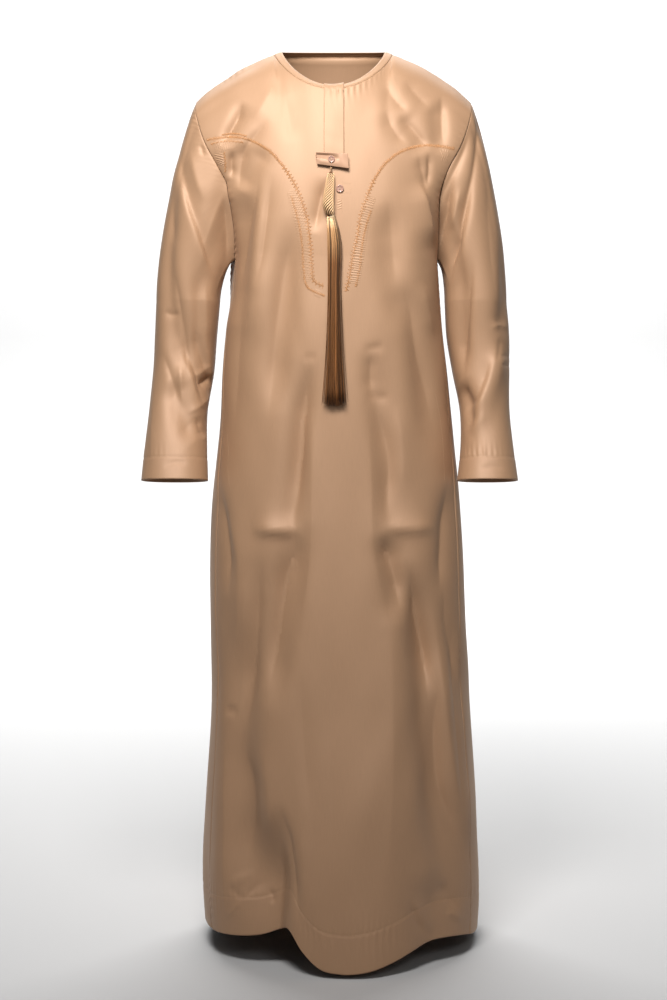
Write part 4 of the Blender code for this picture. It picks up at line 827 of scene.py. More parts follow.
def unevenness(u, v, seed, size, across, along):
    """A gentle unevenness of hanging cloth: a few long waves of about the given widths, in metres."""
    rng = np.random.default_rng(seed)
    total = np.zeros(u.shape)
    for _ in range(7):
        across_scale = across * rng.uniform(0.6, 1.6)
        along_scale = along * rng.uniform(0.6, 1.6)
        lean = rng.uniform(-0.5, 0.5)
        phase = rng.uniform(0, 2 * math.pi)
        bend = 0.3 * np.sin(v / along_scale * 6)
        total += np.sin(2 * math.pi * ((u + lean * v) / across_scale + bend + v / along_scale) + phase)
    return size * total / 3


def lengths(grid, axis):
    """Length along the rows or columns of a grid, from its first point."""
    steps = np.linalg.norm(np.diff(grid, axis=axis), axis=-1)
    first = np.zeros_like(np.take(steps, [0], axis))
    return np.concatenate([first, np.cumsum(steps, axis=axis)], axis=axis)


def pucker(distance, along, seed, depth, wave, reach):
    """Small puckers beside a seam or a stitched line, by the distance from it and the length along it."""
    rng = np.random.default_rng(seed)
    phase = 2.2 * drift(along, wave * 5.3, rng) + 1.3 * drift(along, wave * 2.1, rng)
    strength = ease(0.4 + 0.9 * drift(along, wave * 4.7, rng))
    strength = strength * (0.65 + 0.35 * drift(along, wave * 1.9, rng))
    rise = (distance / reach) * np.exp(1 - distance / reach)
    return depth * strength * rise * np.sin(2 * math.pi * along / wave + phase)


def cloth_grids():
    """Grids of the sewn pieces through the middle of their cloth, with shared points along every seam."""
    front_count = 2 * SHOULDER_STEPS + FRONT_NECK_STEPS
    back_count = 2 * SHOULDER_STEPS + BACK_NECK_STEPS
    counts = [front_count, 2 * GORE_STEPS, back_count, 2 * GORE_STEPS]
    body = skirt(counts, SKIRT_STEPS)
    around = np.concatenate([body, body[:, :1]], axis=1)
    ends = np.cumsum([0] + counts)
    names = ["front_panel", "side_gore_left", "back_panel", "side_gore_right"]
    pieces = {name: around[:, a : b + 1].copy() for name, a, b in zip(names, ends, ends[1:])}

    turns = np.linspace(0, 1, YOKE_STEPS + 1) ** 1.06
    rises = np.sin(turns * math.pi / 2)
    uppers = [
        ("front_panel", ARMHOLE_FRONT, -1, FRONT_NECK_STEPS),
        ("back_panel", ARMHOLE_BACK, 1, BACK_NECK_STEPS),
    ]
    for name, table, side, neck_steps in uppers:
        grid = pieces[name]
        first = armhole_edge(table, grid[-1, 0], rises, side)
        last = armhole_edge(table, grid[-1, -1], rises, -side)
        top = top_edge(name == "front_panel", neck_steps)
        pieces[name] = np.concatenate([grid[:-1], yoke(grid[-1], first, last, top, turns)])

    for name, grid in pieces.items():
        pieces[name] = grid + grid_normals(grid, False) * body_folds(grid)[..., None]
    meet_at_sides(pieces)
    for name in names:
        pieces[name] = add_body_creases(name, pieces[name])
    meet_at_sides(pieces)

    front, back = pieces["front_panel"], pieces["back_panel"]
    sides = [
        ("sleeve_left", 1, front[:, -1], pieces["side_gore_left"][-1], back[:, 0]),
        ("sleeve_right", -1, front[:, 0], pieces["side_gore_right"][-1, ::-1], back[:, -1]),
    ]
    for name, side, front_edge, underarm, back_edge in sides:
        front_edge = front_edge[SKIRT_STEPS:][::-1][::RING_STRIDE]
        back_edge = back_edge[SKIRT_STEPS::RING_STRIDE]
        ring = np.concatenate([front_edge, underarm[1:-1], back_edge[:-1]])
        grid = sleeve(ring, SLEEVES[name], side, CAP_STEPS, SLEEVE_STEPS)
        grid = grid + grid_normals(grid, True) * side * sleeve_folds(grid, SLEEVE_FOLDS[name])[..., None]
        grid = grid if side > 0 else grid[:, ::-1]
        pieces[name] = add_sleeve_creases(name, grid)

    front_neck = front[-1, SHOULDER_STEPS:-SHOULDER_STEPS]
    back_neck = back[-1, SHOULDER_STEPS + 1 : -SHOULDER_STEPS - 1]
    angles = np.linspace(math.pi, 0, FRONT_NECK_STEPS + 1)
    angles = np.concatenate([angles, np.linspace(0, -math.pi, BACK_NECK_STEPS + 1)[1:-1]])
    low, high = np.concatenate([front_neck, back_neck]), neck_curve(angles, 0.0)
    shares = np.linspace(0, 1, NECKBAND_STEPS + 1)[:, None, None]
    band = low + (high - low) * shares
    raised = 0.0013 * ease(shares / 0.18) * ease((1 - shares) / 0.25)
    pieces["neckband"] = band + grid_normals(band, True) * raised
    return pieces


def meet_at_sides(pieces):
    """Brings the edges that share a side or shoulder seam together."""
    order = ["front_panel", "side_gore_left", "back_panel", "side_gore_right"]
    for name, following in zip(order, order[1:] + order[:1]):
        rows = SKIRT_STEPS + 1
        middle = (pieces[name][:rows, -1] + pieces[following][:rows, 0]) / 2
        pieces[name][:rows, -1] = middle
        pieces[following][:rows, 0] = middle
    front, back = pieces["front_panel"], pieces["back_panel"]
    count = SHOULDER_STEPS + 1
    for ours, theirs in ((np.s_[:count], np.s_[: -count - 1 : -1]), (np.s_[-count:], np.s_[count - 1 :: -1])):
        middle = (front[-1, ours] + back[-1, theirs]) / 2
        front[-1, ours] = middle
        back[-1, theirs] = middle


def turn_up(beyond):
    """The groove of a turned-up edge's stitching, and the thicker cloth beyond it."""
    return -SEAM_GROOVE * np.exp(-((beyond / STITCH_GROOVE_WIDTH) ** 2)) + 0.0003 * ease(beyond / 0.003)


def add_body_creases(name, grid):
    """A body panel with its finer folds, its hem, its seams and their puckers."""
    out = grid_normals(grid, False)
    u, v = lengths(grid, 1), lengths(grid, 0)
    width = u[:, -1:]
    seed = sum(map(ord, name))
    across, height = seen(grid)
    facing = ease((-out[..., 1] + 0.05) / 0.30)
    amount = crease_amount(across, height, FRONT_CREASES) * facing
    amount += crease_amount(grid[..., 0], grid[..., 2], BACK_CREASES) * ease((out[..., 1] + 0.05) / 0.30)
    amount += unevenness(u - width / 2, v, seed, 0.0007, 0.11, 0.60)
    amount += pucker(u, v, seed + 1, SIDE_PUCKER, 0.013, 0.004)
    amount += pucker(width - u, v, seed + 2, SIDE_PUCKER, 0.013, 0.004)
    from_hem = v - HEM_TURN
    amount += turn_up(-from_hem)
    amount += pucker(np.maximum(from_hem, 0), u, seed + 3, HEM_PUCKER, 0.010, 0.006)
    amount += pucker(np.maximum(-from_hem, 0), u, seed + 4, HEM_PUCKER * 1.2, 0.012, 0.010)
    if name in ("front_panel", "back_panel"):
        from_top = v[-1:] - v
        amount += pucker(from_top, u, seed + 5, 0.0007, 0.011, 0.006)
        amount[-1] -= SEAM_GROOVE
    amount[:, 0] -= SEAM_GROOVE
    amount[:, -1] -= SEAM_GROOVE
    return grid + out * amount[..., None]


def add_sleeve_creases(name, grid):
    """A sleeve with its finer folds, its cuff turn-up and the puckers at its armhole."""
    out = grid_normals(grid, True)
    u, v = lengths(grid, 1), lengths(grid, 0)
    total = v[-1:]
    seed = sum(map(ord, name))
    across, height = seen(grid)
    facing = ease((-out[..., 1] + 0.10) / 0.30)
    amount = crease_amount(across, height, SLEEVE_CREASES[name]) * facing
    behind = ease((out[..., 1] + 0.10) / 0.30)
    amount += crease_amount(np.abs(grid[..., 0]), grid[..., 2], SLEEVE_BACK_CREASES) * behind
    amount += pucker(v, u, seed + 1, 0.0011, 0.012, 0.007) * ease((grid[..., 2] - 1.20) / 0.10)
    from_cuff = v - (total - CUFF_TURN)
    amount += turn_up(from_cuff)
    amount += pucker(np.maximum(-from_cuff, 0), u, seed + 2, 0.0006, 0.010, 0.006)
    amount[0] -= SEAM_GROOVE
    return grid + out * amount[..., None]


def mesh_object(name, points, faces, material, uv=None):
    """An object made of points above the floor, which are brought into the frame, and of faces."""
    mesh = bpy.data.meshes.new(name)
    points = np.asarray(points, float) - [0, 0, ORIGIN_HEIGHT]
    mesh.from_pydata(points.tolist(), [], [tuple(map(int, face)) for face in faces])
    mesh.materials.append(material)
    if uv is not None:
        layer = mesh.uv_layers.new(name="UVMap")
        corner = np.zeros(len(mesh.loops), int)
        mesh.loops.foreach_get("vertex_index", corner)
        layer.data.foreach_set("uv", np.asarray(uv, float)[corner].ravel())
    mesh.shade_smooth()
    obj = bpy.data.objects.new(name, mesh)
    bpy.context.scene.collection.objects.link(obj)
    return obj


def skin_faces(rows, count, closed, first=0, flip=False):
    """Quads of a grid of points that are numbered from first."""
    r, c = np.meshgrid(np.arange(rows - 1), np.arange(count if closed else count - 1), indexing="ij")
    d = (c + 1) % count
    quads = np.stack([r * count + c, r * count + d, (r + 1) * count + d, (r + 1) * count + c], axis=-1)
    quads = quads.reshape(-1, 4) + first
    return quads[:, ::-1] if flip else quads


def rim(rows, count, closed):
    """Point numbers round the boundary of a grid, one closed list for each boundary."""
    bottom = list(range(count))
    top = [(rows - 1) * count + c for c in range(count)]
    if closed:
        return [bottom + bottom[:1], (top + top[:1])[::-1]]
    right = [r * count + count - 1 for r in range(rows)]
    left = [r * count for r in range(rows)]
    return [bottom + right[1:] + top[::-1][1:] + left[::-1][1:]]


def inner_skin(grid, out, closed, thickness, stride):
    """A coarser skin inside a fine one, everywhere at least as deep as the fine one's folds."""
    rows, count = grid.shape[:2]
    r, c = np.arange(0, rows, stride), np.arange(0, count, stride)
    coarse, normal = grid[r][:, c], out[r][:, c]
    deepest = np.zeros(coarse.shape[:2])
    for up in range(-stride, stride + 1):
        for side in range(-stride, stride + 1):
            near_c = (c + side) % count if closed else np.clip(c + side, 0, count - 1)
            near = grid[np.clip(r + up, 0, rows - 1)][:, near_c]
            deepest = np.minimum(deepest, ((near - coarse) * normal).sum(axis=-1))
    deepest[[0, -1]] = 0
    if not closed:
        deepest[:, [0, -1]] = 0
    return coarse + normal * (deepest - thickness)[..., None]


def shell(name, grid, out, material, closed=False, thickness=CLOTH, stride=4):
    """A thin shell of cloth: a fine outer skin, an inner one of longer steps, and a rim."""
    rows, count = grid.shape[:2]
    ring = np.concatenate([grid, grid[:, :1]], axis=1) if closed else grid
    u, v = lengths(ring, 1), lengths(ring, 0)
    u = (u - u[:, u.shape[1] // 2 : u.shape[1] // 2 + 1])[:, :count]
    v = np.broadcast_to(v[:, v.shape[1] // 2][:, None], (rows, count))
    uv = np.stack([u, v], axis=-1)
    inner = inner_skin(grid, out, closed, thickness, stride)
    in_rows, in_count = inner.shape[:2]
    first = rows * count
    faces = skin_faces(rows, count, closed).tolist()
    faces += skin_faces(in_rows, in_count, closed, first, True).tolist()
    for loop, in_loop in zip(rim(rows, count, closed), rim(in_rows, in_count, closed)):
        for k in range(len(in_loop) - 1):
            outer = loop[stride * k : stride * (k + 1) + 1]
            p, q = in_loop[k] + first, in_loop[k + 1] + first
            faces.append((outer[stride // 2], p, q))
            for j in range(stride):
                faces.append((outer[j + 1], outer[j], p if j < stride // 2 else q))
    points = np.concatenate([grid.reshape(-1, 3), inner.reshape(-1, 3)])
    uv = np.concatenate([uv.reshape(-1, 2), uv[::stride, ::stride].reshape(-1, 2)])
    return mesh_object(name, points, faces, material, uv)


class Cloth:
    """The shown skins of the sewn pieces, for finding places on them."""

    def __init__(self, pieces, names):
        self.grids = {name: pieces[name] for name in names}
        self.outs = {name: grid_normals(pieces[name], name in CLOSED) for name in names}
        vertices, faces = [], []
        for name in names:
            rows, count = pieces[name].shape[:2]
            faces += skin_faces(rows, count, name in CLOSED, len(vertices)).tolist()
            vertices += pieces[name].reshape(-1, 3).tolist()
        self.tree = BVHTree.FromPolygons(vertices, faces)

    def seen_at(self, across, height):
        """The place on the cloth that the camera sees at a place of its view, and the direction out of it."""
        eye = Vector((0, -CAMERA_DISTANCE, CAMERA_HEIGHT))
        hit, normal, _, _ = self.tree.ray_cast(eye, (Vector((across, 0, height)) - eye).normalized())
        return np.array(hit), np.array(normal if normal.y < 0 else -normal)

    def under(self, x, z):
        """The place on the front of the cloth straight behind a place of the front."""
        hit, normal, _, _ = self.tree.ray_cast((x, -1.0, z), (0, 1, 0))
        return np.array(hit), np.array(normal if normal.y < 0 else -normal)

    def view_line(self, line, step):
        """Points and outward directions along a line of the camera's view."""
        drawn, length = smooth_line(line, 60)
        places = np.linspace(0, length[-1], max(2, int(length[-1] / step) + 1))
        spots = [self.seen_at(*spot) for spot in read_along(places, length, drawn)]
        return np.array([p for p, _ in spots]), unit(np.array([n for _, n in spots]))


def inside_edge(grid, out, side, distance, closed=False):
    """Points and directions along a line at a distance inside one edge of a grid."""
    if side in ("top", "right"):
        grid, out = (grid[::-1], out[::-1]) if side == "top" else (grid[:, ::-1], out[:, ::-1])
    if side in ("left", "right"):
        grid, out = np.swapaxes(grid, 0, 1), np.swapaxes(out, 0, 1)
    along = lengths(grid, 0)
    r = np.maximum((along < distance).sum(axis=0), 1)
    c = np.arange(grid.shape[1])
    a, b = along[r - 1, c], along[r, c]
    t = ((distance - a) / (b - a))[:, None]
    points = grid[r - 1, c] + (grid[r, c] - grid[r - 1, c]) * t
    directions = unit(out[r - 1, c] + (out[r, c] - out[r - 1, c]) * t)
    if closed:
        points = np.concatenate([points, points[:1]])
        directions = np.concatenate([directions, directions[:1]])
    return points, directions


def resample(points, directions, step):
    """Even places along a line, with the directions out of the cloth and along the line."""
    length = run_length(points)
    places = np.linspace(0, length[-1], max(3, int(round(length[-1] / step)) + 1))
    line = read_along(places, length, points)
    return line, unit(read_along(places, length, directions)), unit(np.gradient(line, axis=0))


def running_stitches(points, directions, pitch, seed=1):
    """Centres, directions out, directions along and lengths of a row of stitches."""
    rng = np.random.default_rng(seed)
    line, out, _ = resample(points, directions, pitch)
    middle = (line[1:] + line[:-1]) / 2
    along = unit(line[1:] - line[:-1] + rng.normal(0, 0.04 * pitch, (len(middle), 3)))
    return middle, unit(out[1:] + out[:-1]), along, np.full(len(middle), pitch * 0.74)


def zigzag_stitches(points, directions, pitch, width, seed=1):
    """Slanting stitches to and fro across a line, as embroidery covers it."""
    rng = np.random.default_rng(seed)
    line, out, along = resample(points, directions, pitch)
    across = np.cross(out, along)
    side = np.where(np.arange(len(line)) % 2 == 0, 1.0, -1.0)[:, None]
    reach = width / 2 * (1 + rng.normal(0, 0.10, (len(line), 1)))
    corner = line + across * side * reach
    middle = (corner[1:] + corner[:-1]) / 2
    step = corner[1:] - corner[:-1]
    return middle, unit(out[1:] + out[:-1]), unit(step), np.linalg.norm(step, axis=1)


def stitch_object(name, groups, radius, thread, lift=0.4):
    """One mesh of many short threads, each a small rod whose ends go down into the cloth."""
    middle, out, along, length = (np.concatenate(part) for part in zip(*groups))
    side = unit(np.cross(out, along))
    out = np.cross(along, side)
    stops = [(-0.5, 0.35, -0.9), (-0.34, 0.95, 0.0), (0.34, 0.95, 0.0), (0.5, 0.35, -0.9)]
    turns = 2 * math.pi * np.arange(5) / 5
    rings = []
    for at, size, sink in stops:
        centre = middle + along * (length * at)[:, None] + out * radius * (lift + sink)
        for turn in turns:
            rings.append(centre + (side * math.cos(turn) + out * math.sin(turn)) * radius * size)
    points = np.stack(rings, axis=1)
    count = len(turns)
    quads = []
    for k in range(len(stops) - 1):
        for i in range(count):
            j = (i + 1) % count
            quads.append((k * count + i, k * count + j, (k + 1) * count + j, (k + 1) * count + i))
    faces = (np.array(quads)[None] + len(points[0]) * np.arange(len(points))[:, None, None]).reshape(-1, 4)
    return mesh_object(name, points.reshape(-1, 3), faces.tolist(), thread)


def tube(line, radii, sides, faces, points, uv, twist=0.0, flat=1.0):
    """Adds a round thread along a line to lists of points, faces and places of its surface."""
    line = np.asarray(line, float)
    radii = np.broadcast_to(radii, len(line))
    along = unit(np.gradient(line, axis=0))
    length = run_length(line)
    normal = np.cross(along[0], (0.3, 0.9, 0.2))
    first = len(points)
    for k, (centre, radius, direction) in enumerate(zip(line, radii, along)):
        normal = unit(normal - direction * np.dot(normal, direction))
        other = np.cross(direction, normal)
        for i in range(sides):
            angle = 2 * math.pi * i / sides + twist * k
            points.append(centre + radius * (normal * math.cos(angle) + other * math.sin(angle) * flat))
            uv.append((i / sides, length[k]))
    for k in range(len(line) - 1):
        for i in range(sides):
            j = (i + 1) % sides
            a = first + k * sides
            faces.append((a + i, a + j, a + sides + j, a + sides + i))
    faces.append(tuple(first + i for i in reversed(range(sides))))
    faces.append(tuple(first + (len(line) - 1) * sides + i for i in range(sides)))


def embroidery(cloth):
    """Zigzag rows of the yoke's curved embroidery, which run from both armholes down to the chest."""
    thread = glossy("embroidery_thread", (0.42, 0.20, 0.075), 0.42)
    groups = []
    for k, row in enumerate(EMBROIDERY):
        points, out = cloth.view_line(row.line, DRAWING_STEP)
        groups.append(zigzag_stitches(points, out, row.pitch, row.width * 0.62, k + 3))
        for way in (1, -1):
            seed = 20 * k + way + 1
            crossed = (points[::way], out[::way], CROSSED_PITCH, row.width * 1.75, seed)
            groups.append(zigzag_stitches(*crossed))
    return stitch_object("yoke_embroidery", groups, EMBROIDERY_RADIUS, thread)


def ripples(cloth, material):
    """Strips of cloth drawn into fine ripples between and beside the embroidered rows."""
    points, faces, uv = [], [], []
    for k, strip in enumerate(RIPPLES):
        inner, _ = cloth.view_line(strip.line, RIPPLE_STEP)
        outer, _ = cloth.view_line(strip.far_line, RIPPLE_STEP)
        rows = len(inner)
        places = np.linspace(0, 1, rows)
        far = read_along(places, np.linspace(0, 1, len(outer)), outer)
        rng = np.random.default_rng(40 + k)
        along = np.linspace(0, np.linalg.norm(np.diff(inner, axis=0), axis=1).sum(), rows)
        wander = 1.6 * drift(along, 0.011, rng) + 1.1 * drift(along, 0.0047, rng)
        strength = 0.75 + 0.25 * drift(along, 0.017, rng)
        count = 19
        first = len(points)
        for r in range(rows):
            for c, share in enumerate(np.linspace(-0.12, 1.12, count)):
                centre = inner[r] + (far[r] - inner[r]) * share
                spot, normal = cloth.under(centre[0], centre[2])
                middle = np.clip(1.12 - abs(2.24 * (share - 0.5)) / 1.12, 0, 1)
                rise = ease(middle * 2.2) * ease(min(r, rows - 1 - r) / 10)
                turn = 2 * math.pi * along[r] / strip.wave + wander[r]
                if strip.lattice:
                    slant = 2 * math.pi * share * 0.017 / strip.lattice
                    wave = 0.6 * (np.sin(turn + slant) + np.sin(turn * 0.93 - slant + 2 * wander[-r]))
                else:
                    wave = np.sin(turn + 5.0 * (share - 0.5))
                lift = rise * (0.00060 + strip.depth * strength[r] * wave)
                points.append(spot + normal * (-0.00035 + lift))
                uv.append((c * RIPPLE_STEP, along[r]))
        faces += skin_faces(rows, count, False, first).tolist()
    return mesh_object("front_ripples", points, faces, material, uv)


def seam_stitches(pieces):
    """Rows of machine stitches along the hem, cuffs and neckband."""
    groups = []
    for k, name in enumerate(("front_panel", "back_panel", "side_gore_left", "side_gore_right")):
        out = grid_normals(pieces[name], False)
        line = inside_edge(pieces[name], out, "bottom", HEM_TURN)
        groups.append(running_stitches(*line, SEAM_PITCH, k))
    for k, name in enumerate(("sleeve_left", "sleeve_right")):
        out = grid_normals(pieces[name], True)
        line = inside_edge(pieces[name], out, "top", CUFF_TURN, True)
        groups.append(running_stitches(*line, SEAM_PITCH, k + 8))
    out = grid_normals(pieces["neckband"], True)
    for k, distance in enumerate((0.0016, 0.0108)):
        line = inside_edge(pieces["neckband"], out, "bottom", distance, True)
        groups.append(running_stitches(*line, NECKBAND_PITCH, k + 12))
    return groups


def cloth_stitches(cloth):
    """Rows of machine stitches that are placed as the camera sees them."""
    groups = []
    for k, line in enumerate(STITCH_LINES):
        groups.append(running_stitches(*cloth.view_line(line, DRAWING_STEP), POCKET_PITCH, k + 20))
    return groups


def placket(pieces, cloth, material):
    """The placket's folded strip, flat at its left edge and standing off the cloth at its right one."""
    neckline = pieces["neckband"][-1, : FRONT_NECK_STEPS + 1]
    columns = np.linspace(PLACKET_LEFT, PLACKET_RIGHT, 27)
    top = np.interp(columns, neckline[:, 0], neckline[:, 2]) - 0.0008
    rows = []
    for share in np.linspace(0, 1, 91):
        row = []
        for k, x in enumerate(columns):
            z = PLACKET_BOTTOM + (top[k] - PLACKET_BOTTOM) * share
            spot, normal = cloth.under(x, z)
            across = k / (len(columns) - 1)
            lift = 0.0007 + 0.0013 * ease((across - 0.45) / 0.55) * (0.6 + 0.4 * math.sin(share * 7 + 1.2))
            ripple = 0.00012 * math.sin(share * 31 + across * 2)
            lift += ripple + 0.0004 * math.exp(-(((across - 0.5) / 0.3) ** 2))
            row.append(spot + normal * (lift + 0.0012))
        rows.append(row)
    grid = np.array(rows)
    out = grid_normals(grid, False)
    obj = shell("placket_cloth", grid, out, material, False, 0.0012, 2)
    pieces["placket"] = grid
    groups = []
    for side, gap in (("left", 0.0012), ("top", 0.0030)):
        groups.append(running_stitches(*inside_edge(grid, out, side, gap), PLACKET_PITCH, 60))
    return obj, groups


def tab(cloth, material):
    """The tab: a flattened loop of cloth, its left half folded into two bands, pinched by the button."""
    spots = [(x, z) for x in np.linspace(-0.028, 0.024, 14) for z in np.linspace(1.297, 1.319, 9)]
    base = min(cloth.under(*spot)[0][1] for spot in spots) - 0.0008
    angles = np.linspace(-math.pi, math.pi, 121)[:-1]
    across, out = superellipse(angles, 6.0)
    rows = []
    for h in np.linspace(-1, 1, 25):
        front = np.where(out < 0, -out, 0)
        left = ease((0.16 - across) / 0.10)
        upper = ease((h - 0.02) / 0.10)
        lower = math.exp(-(((h + 0.45) / 0.46) ** 2))
        sunk = -0.0042 + 0.0052 * ease((h - 0.25) / 0.80)
        shape = left * (sunk * upper + 0.0014 * lower * ease((across + 1.0) / 0.3))
        shape = shape + (1 - left) * (0.0007 - 0.0006 * abs(h) ** 3 + 0.0004 * np.sin(across * 5 + h * 2))
        shape = shape - 0.0013 * np.exp(-(((across - 0.02) / 0.20) ** 2) - ((h - 0.15) / 0.5) ** 2)
        shape = shape - 0.0014 * np.exp(-(((across - 0.24) / 0.05) ** 2))
        depth = base - TAB_HALF_DEPTH * (1 - out) - front * shape
        depth = depth - 0.0016 * ease((across - 0.55) / 0.45)
        middle = TAB_MIDDLE[1] - 0.0024 * across
        half = TAB_HALF_HEIGHT + 0.0013 * across
        x = TAB_MIDDLE[0] + TAB_HALF_WIDTH * across - 0.0010 * h
        rows.append(np.stack([x, depth, middle + half * h], axis=-1))
    grid = np.stack(rows)
    obj = shell("tab_cloth", grid, grid_normals(grid, True), material, True, 0.0007, 2)
    return obj, base


def button(name, place, radius, material, hole_shade):
    """A dished button with a raised rim and a hole in each of four places, sewn on with crossed threads; each
    hole is a dark disc whose colour is painted shade.
    """
    profile = [(0.0, 0.50), (0.30, 0.50), (0.56, 0.52), (0.66, 0.62), (0.74, 0.86), (0.82, 0.98)]
    profile += [(0.90, 0.98), (0.97, 0.84), (1.0, 0.60), (0.98, 0.34), (0.90, 0.10), (0.70, 0.0), (0.0, 0.0)]
    count = 40
    centre = np.array(place)
    points = []
    for r, h in profile:
        for i in range(count):
            angle = 2 * math.pi * i / count
            forward = -BUTTON_THICKNESS * h
            points.append(centre + [radius * r * math.cos(angle), forward, radius * r * math.sin(angle)])
    faces = skin_faces(len(profile), count, True, 0, True).tolist()
    obj = mesh_object(name, points, faces, material)
    # Each hole is a dark disc on the button's face; its dark colour is painted shade.
    hole_points, hole_faces, hole_uv = [], [], []
    spots = [(0.20, 0.20), (-0.20, 0.20), (-0.20, -0.20), (0.20, -0.20)]
    for a, b in spots:
        at = centre + [radius * a, 0, radius * b]
        ends = [at + [0, -BUTTON_THICKNESS * share, 0] for share in (0.40, 0.515)]
        tube(ends, radius * 0.105, 12, hole_faces, hole_points, hole_uv)
    hole_shade_dots = mesh_object(name + "_hole_painted_shade", hole_points, hole_faces, hole_shade)
    lines = [(0, 2), (1, 3), (0, 2), (1, 3)]
    heights = [-BUTTON_THICKNESS * (0.60 + 0.05 * k) for k in range(len(lines))]
    middle = np.array([centre + [0, height, 0.00012 * (k - 1.5)] for k, height in enumerate(heights)])
    along = unit(np.array([[spots[b][0] - spots[a][0], 0, spots[b][1] - spots[a][1]] for a, b in lines]))
    group = (middle, np.tile([0.0, -1.0, 0.0], (len(lines), 1)), along, np.full(len(lines), radius * 0.62))
    return obj, hole_shade_dots, group


def hang_depth(cloth, x, z, reach, behind):
    """How far forward the middle of a hanging thing lies, clear of the cloth behind it."""
    near = [(x + side * reach, z + up) for side in (-1, 0, 1) for up in (-0.006, 0, 0.006)]
    return min(cloth.under(*spot)[0][1] for spot in near) - 0.0006 - behind


def cord(cloth, neck_depth):
    """The tassel's twisted head: strands wound about a dark core, down to the fringe; the core's dark colour
    is painted shade in the gaps between the strands.
    """
    bottom, top = CORD[-1].height, CORD[0].height
    heights = np.linspace(top, bottom, 200)
    radii = column(CORD[::-1], "height", "radius", heights)
    places = column(CORD[::-1], "height", "x", heights)
    depths = np.full(len(heights), neck_depth)
    for k, (x, z, radius) in enumerate(zip(places, heights, radii)):
        if z < CORD_NECK:
            depths[k] = min(neck_depth, hang_depth(cloth, x, z, radius, radius * 1.02))
    points, faces, uv = [], [], []
    for i in range(CORD_RIDGES):
        angle = 2 * math.pi * (i / CORD_RIDGES - CORD_TURNS * (heights - bottom) / (top - bottom))
        x, y = places + 0.9 * radii * np.cos(angle), depths + 0.9 * radii * np.sin(angle)
        tube(np.stack([x, y, heights], axis=1), radii * 0.100, 8, faces, points, uv)
    thread = glossy("cord_thread", (0.86, 0.56, 0.31), 0.45)
    strands = mesh_object("tassel_cord_strands", points, faces, thread, uv)
    points, faces, uv = [], [], []
    tube(np.stack([places, depths, heights], axis=1), radii * 0.78, 24, faces, points, uv)
    # The core's near-black brown is painted shade: it darkens the gaps between the strands.
    shade = glossy("cord_core_painted_shade", (0.09, 0.034, 0.010), 0.9)
    return strands, mesh_object("tassel_cord_painted_shade_core", points, faces, shade, uv)


def fringe(cloth):
    """The tassel's hanging threads, gathered at their neck, with a few that stray."""
    rng = np.random.default_rng(11)
    thread = tassel_thread("fringe_threads")
    heights = np.array([row.height for row in FRINGE])
    levels = np.linspace(heights[0], heights[-1], 15)
    spreads = column(FRINGE[::-1], "height", "spread", levels)
    places = column(FRINGE[::-1], "height", "x", levels)
    backs = []
    for x, z, spread, share in zip(places, levels, spreads, np.linspace(0, 1, len(levels))):
        reach, behind = FRINGE_HALF_WIDTH * spread, FRINGE_HALF_DEPTH * (1 + 0.5 * share) + 0.0012 * share
        backs.append(min([hang_depth(cloth, x, z, reach, behind)] + backs[-1:]))
    backs = np.array(backs)
    locks = np.stack([np.linspace(-1, 1, FRINGE_LOCKS), rng.uniform(-1, 1, FRINGE_LOCKS)], axis=1)
    tones = rng.permutation(np.linspace(0, 1, FRINGE_LOCKS) ** 1.6)
    points, faces, uv = [], [], []
    t = np.linspace(0, 1, len(levels))
    for k in range(FRINGE_THREADS):
        which = rng.integers(len(locks))
        lock = locks[which]
        radius = math.sqrt(rng.uniform(0, 1))
        angle = rng.uniform(0, 2 * math.pi)
        u, v = radius * math.cos(angle), radius * math.sin(angle)
        u, v = 0.42 * u + 0.68 * lock[0], 0.7 * v + 0.3 * lock[1]
        sway = rng.normal(0, 1, 2) * (0.0011, 0.0007)
        stray = 0.0
        if k % 41 == 0:
            stray = rng.choice([-1, 1]) * rng.uniform(0.004, 0.010)
        x = places + FRINGE_HALF_WIDTH * u * spreads + sway[0] * np.sin(t * 3 + rng.uniform(0, 6)) * t
        x = x + stray * t**3
        y = backs + FRINGE_HALF_DEPTH * v * (1 + 0.5 * t) + sway[1] * np.sin(t * 4 + rng.uniform(0, 6)) * t
        z = levels[0] + (levels - levels[0]) * (1 + rng.uniform(-0.022, 0.010))
        tube(np.stack([x, y, z], axis=1), np.linspace(0.00030, 0.00024, len(t)), 4, faces, points, uv)
        shade = np.clip(tones[which] + rng.normal(0, 0.16), 0, 1)
        uv[-4 * len(t) :] = [(shade, along) for _, along in uv[-4 * len(t) :]]
    hanging = mesh_object("tassel_fringe_threads", points, faces, thread, uv)
    points, faces, uv = [], [], []
    ring_heights = np.linspace(FRINGE[0].height + 0.0020, FRINGE[0].height - 0.0022, 7)
    turn = np.linspace(0, 2 * math.pi, 25)
    r = FRINGE_HALF_WIDTH * 0.80
    x, y = FRINGE[0].x + r * np.cos(turn), backs[0] + 0.85 * r * np.sin(turn)
    for z in ring_heights:
        tube(np.stack([x, y, np.full(len(turn), z)], axis=1), 0.00040, 6, faces, points, uv)
    wound = glossy("binding_thread", (0.62, 0.46, 0.28), 0.36)
    return hanging, mesh_object("tassel_binding", points, faces, wound, uv)


def new_material(name):
    """A new material and its shader."""
    made = bpy.data.materials.new(name)
    made.use_nodes = True
    return made, made.node_tree.nodes["Principled BSDF"]


def feed(made, node, values, sources=()):
    """Sets the values of a node's sockets, and joins others to what feeds them."""
    for socket, value in dict(values).items():
        node.inputs[socket].default_value = value
    for socket, output in dict(sources).items():
        made.node_tree.links.new(output, node.inputs[socket])


def add_node(made, kind, values=(), sources=(), **settings):
    """A new node of a material, with its settings, its values and what feeds it."""
    node = made.node_tree.nodes.new(kind)
    for setting, value in settings.items():
        setattr(node, setting, value)
    feed(made, node, values, sources)
    return node


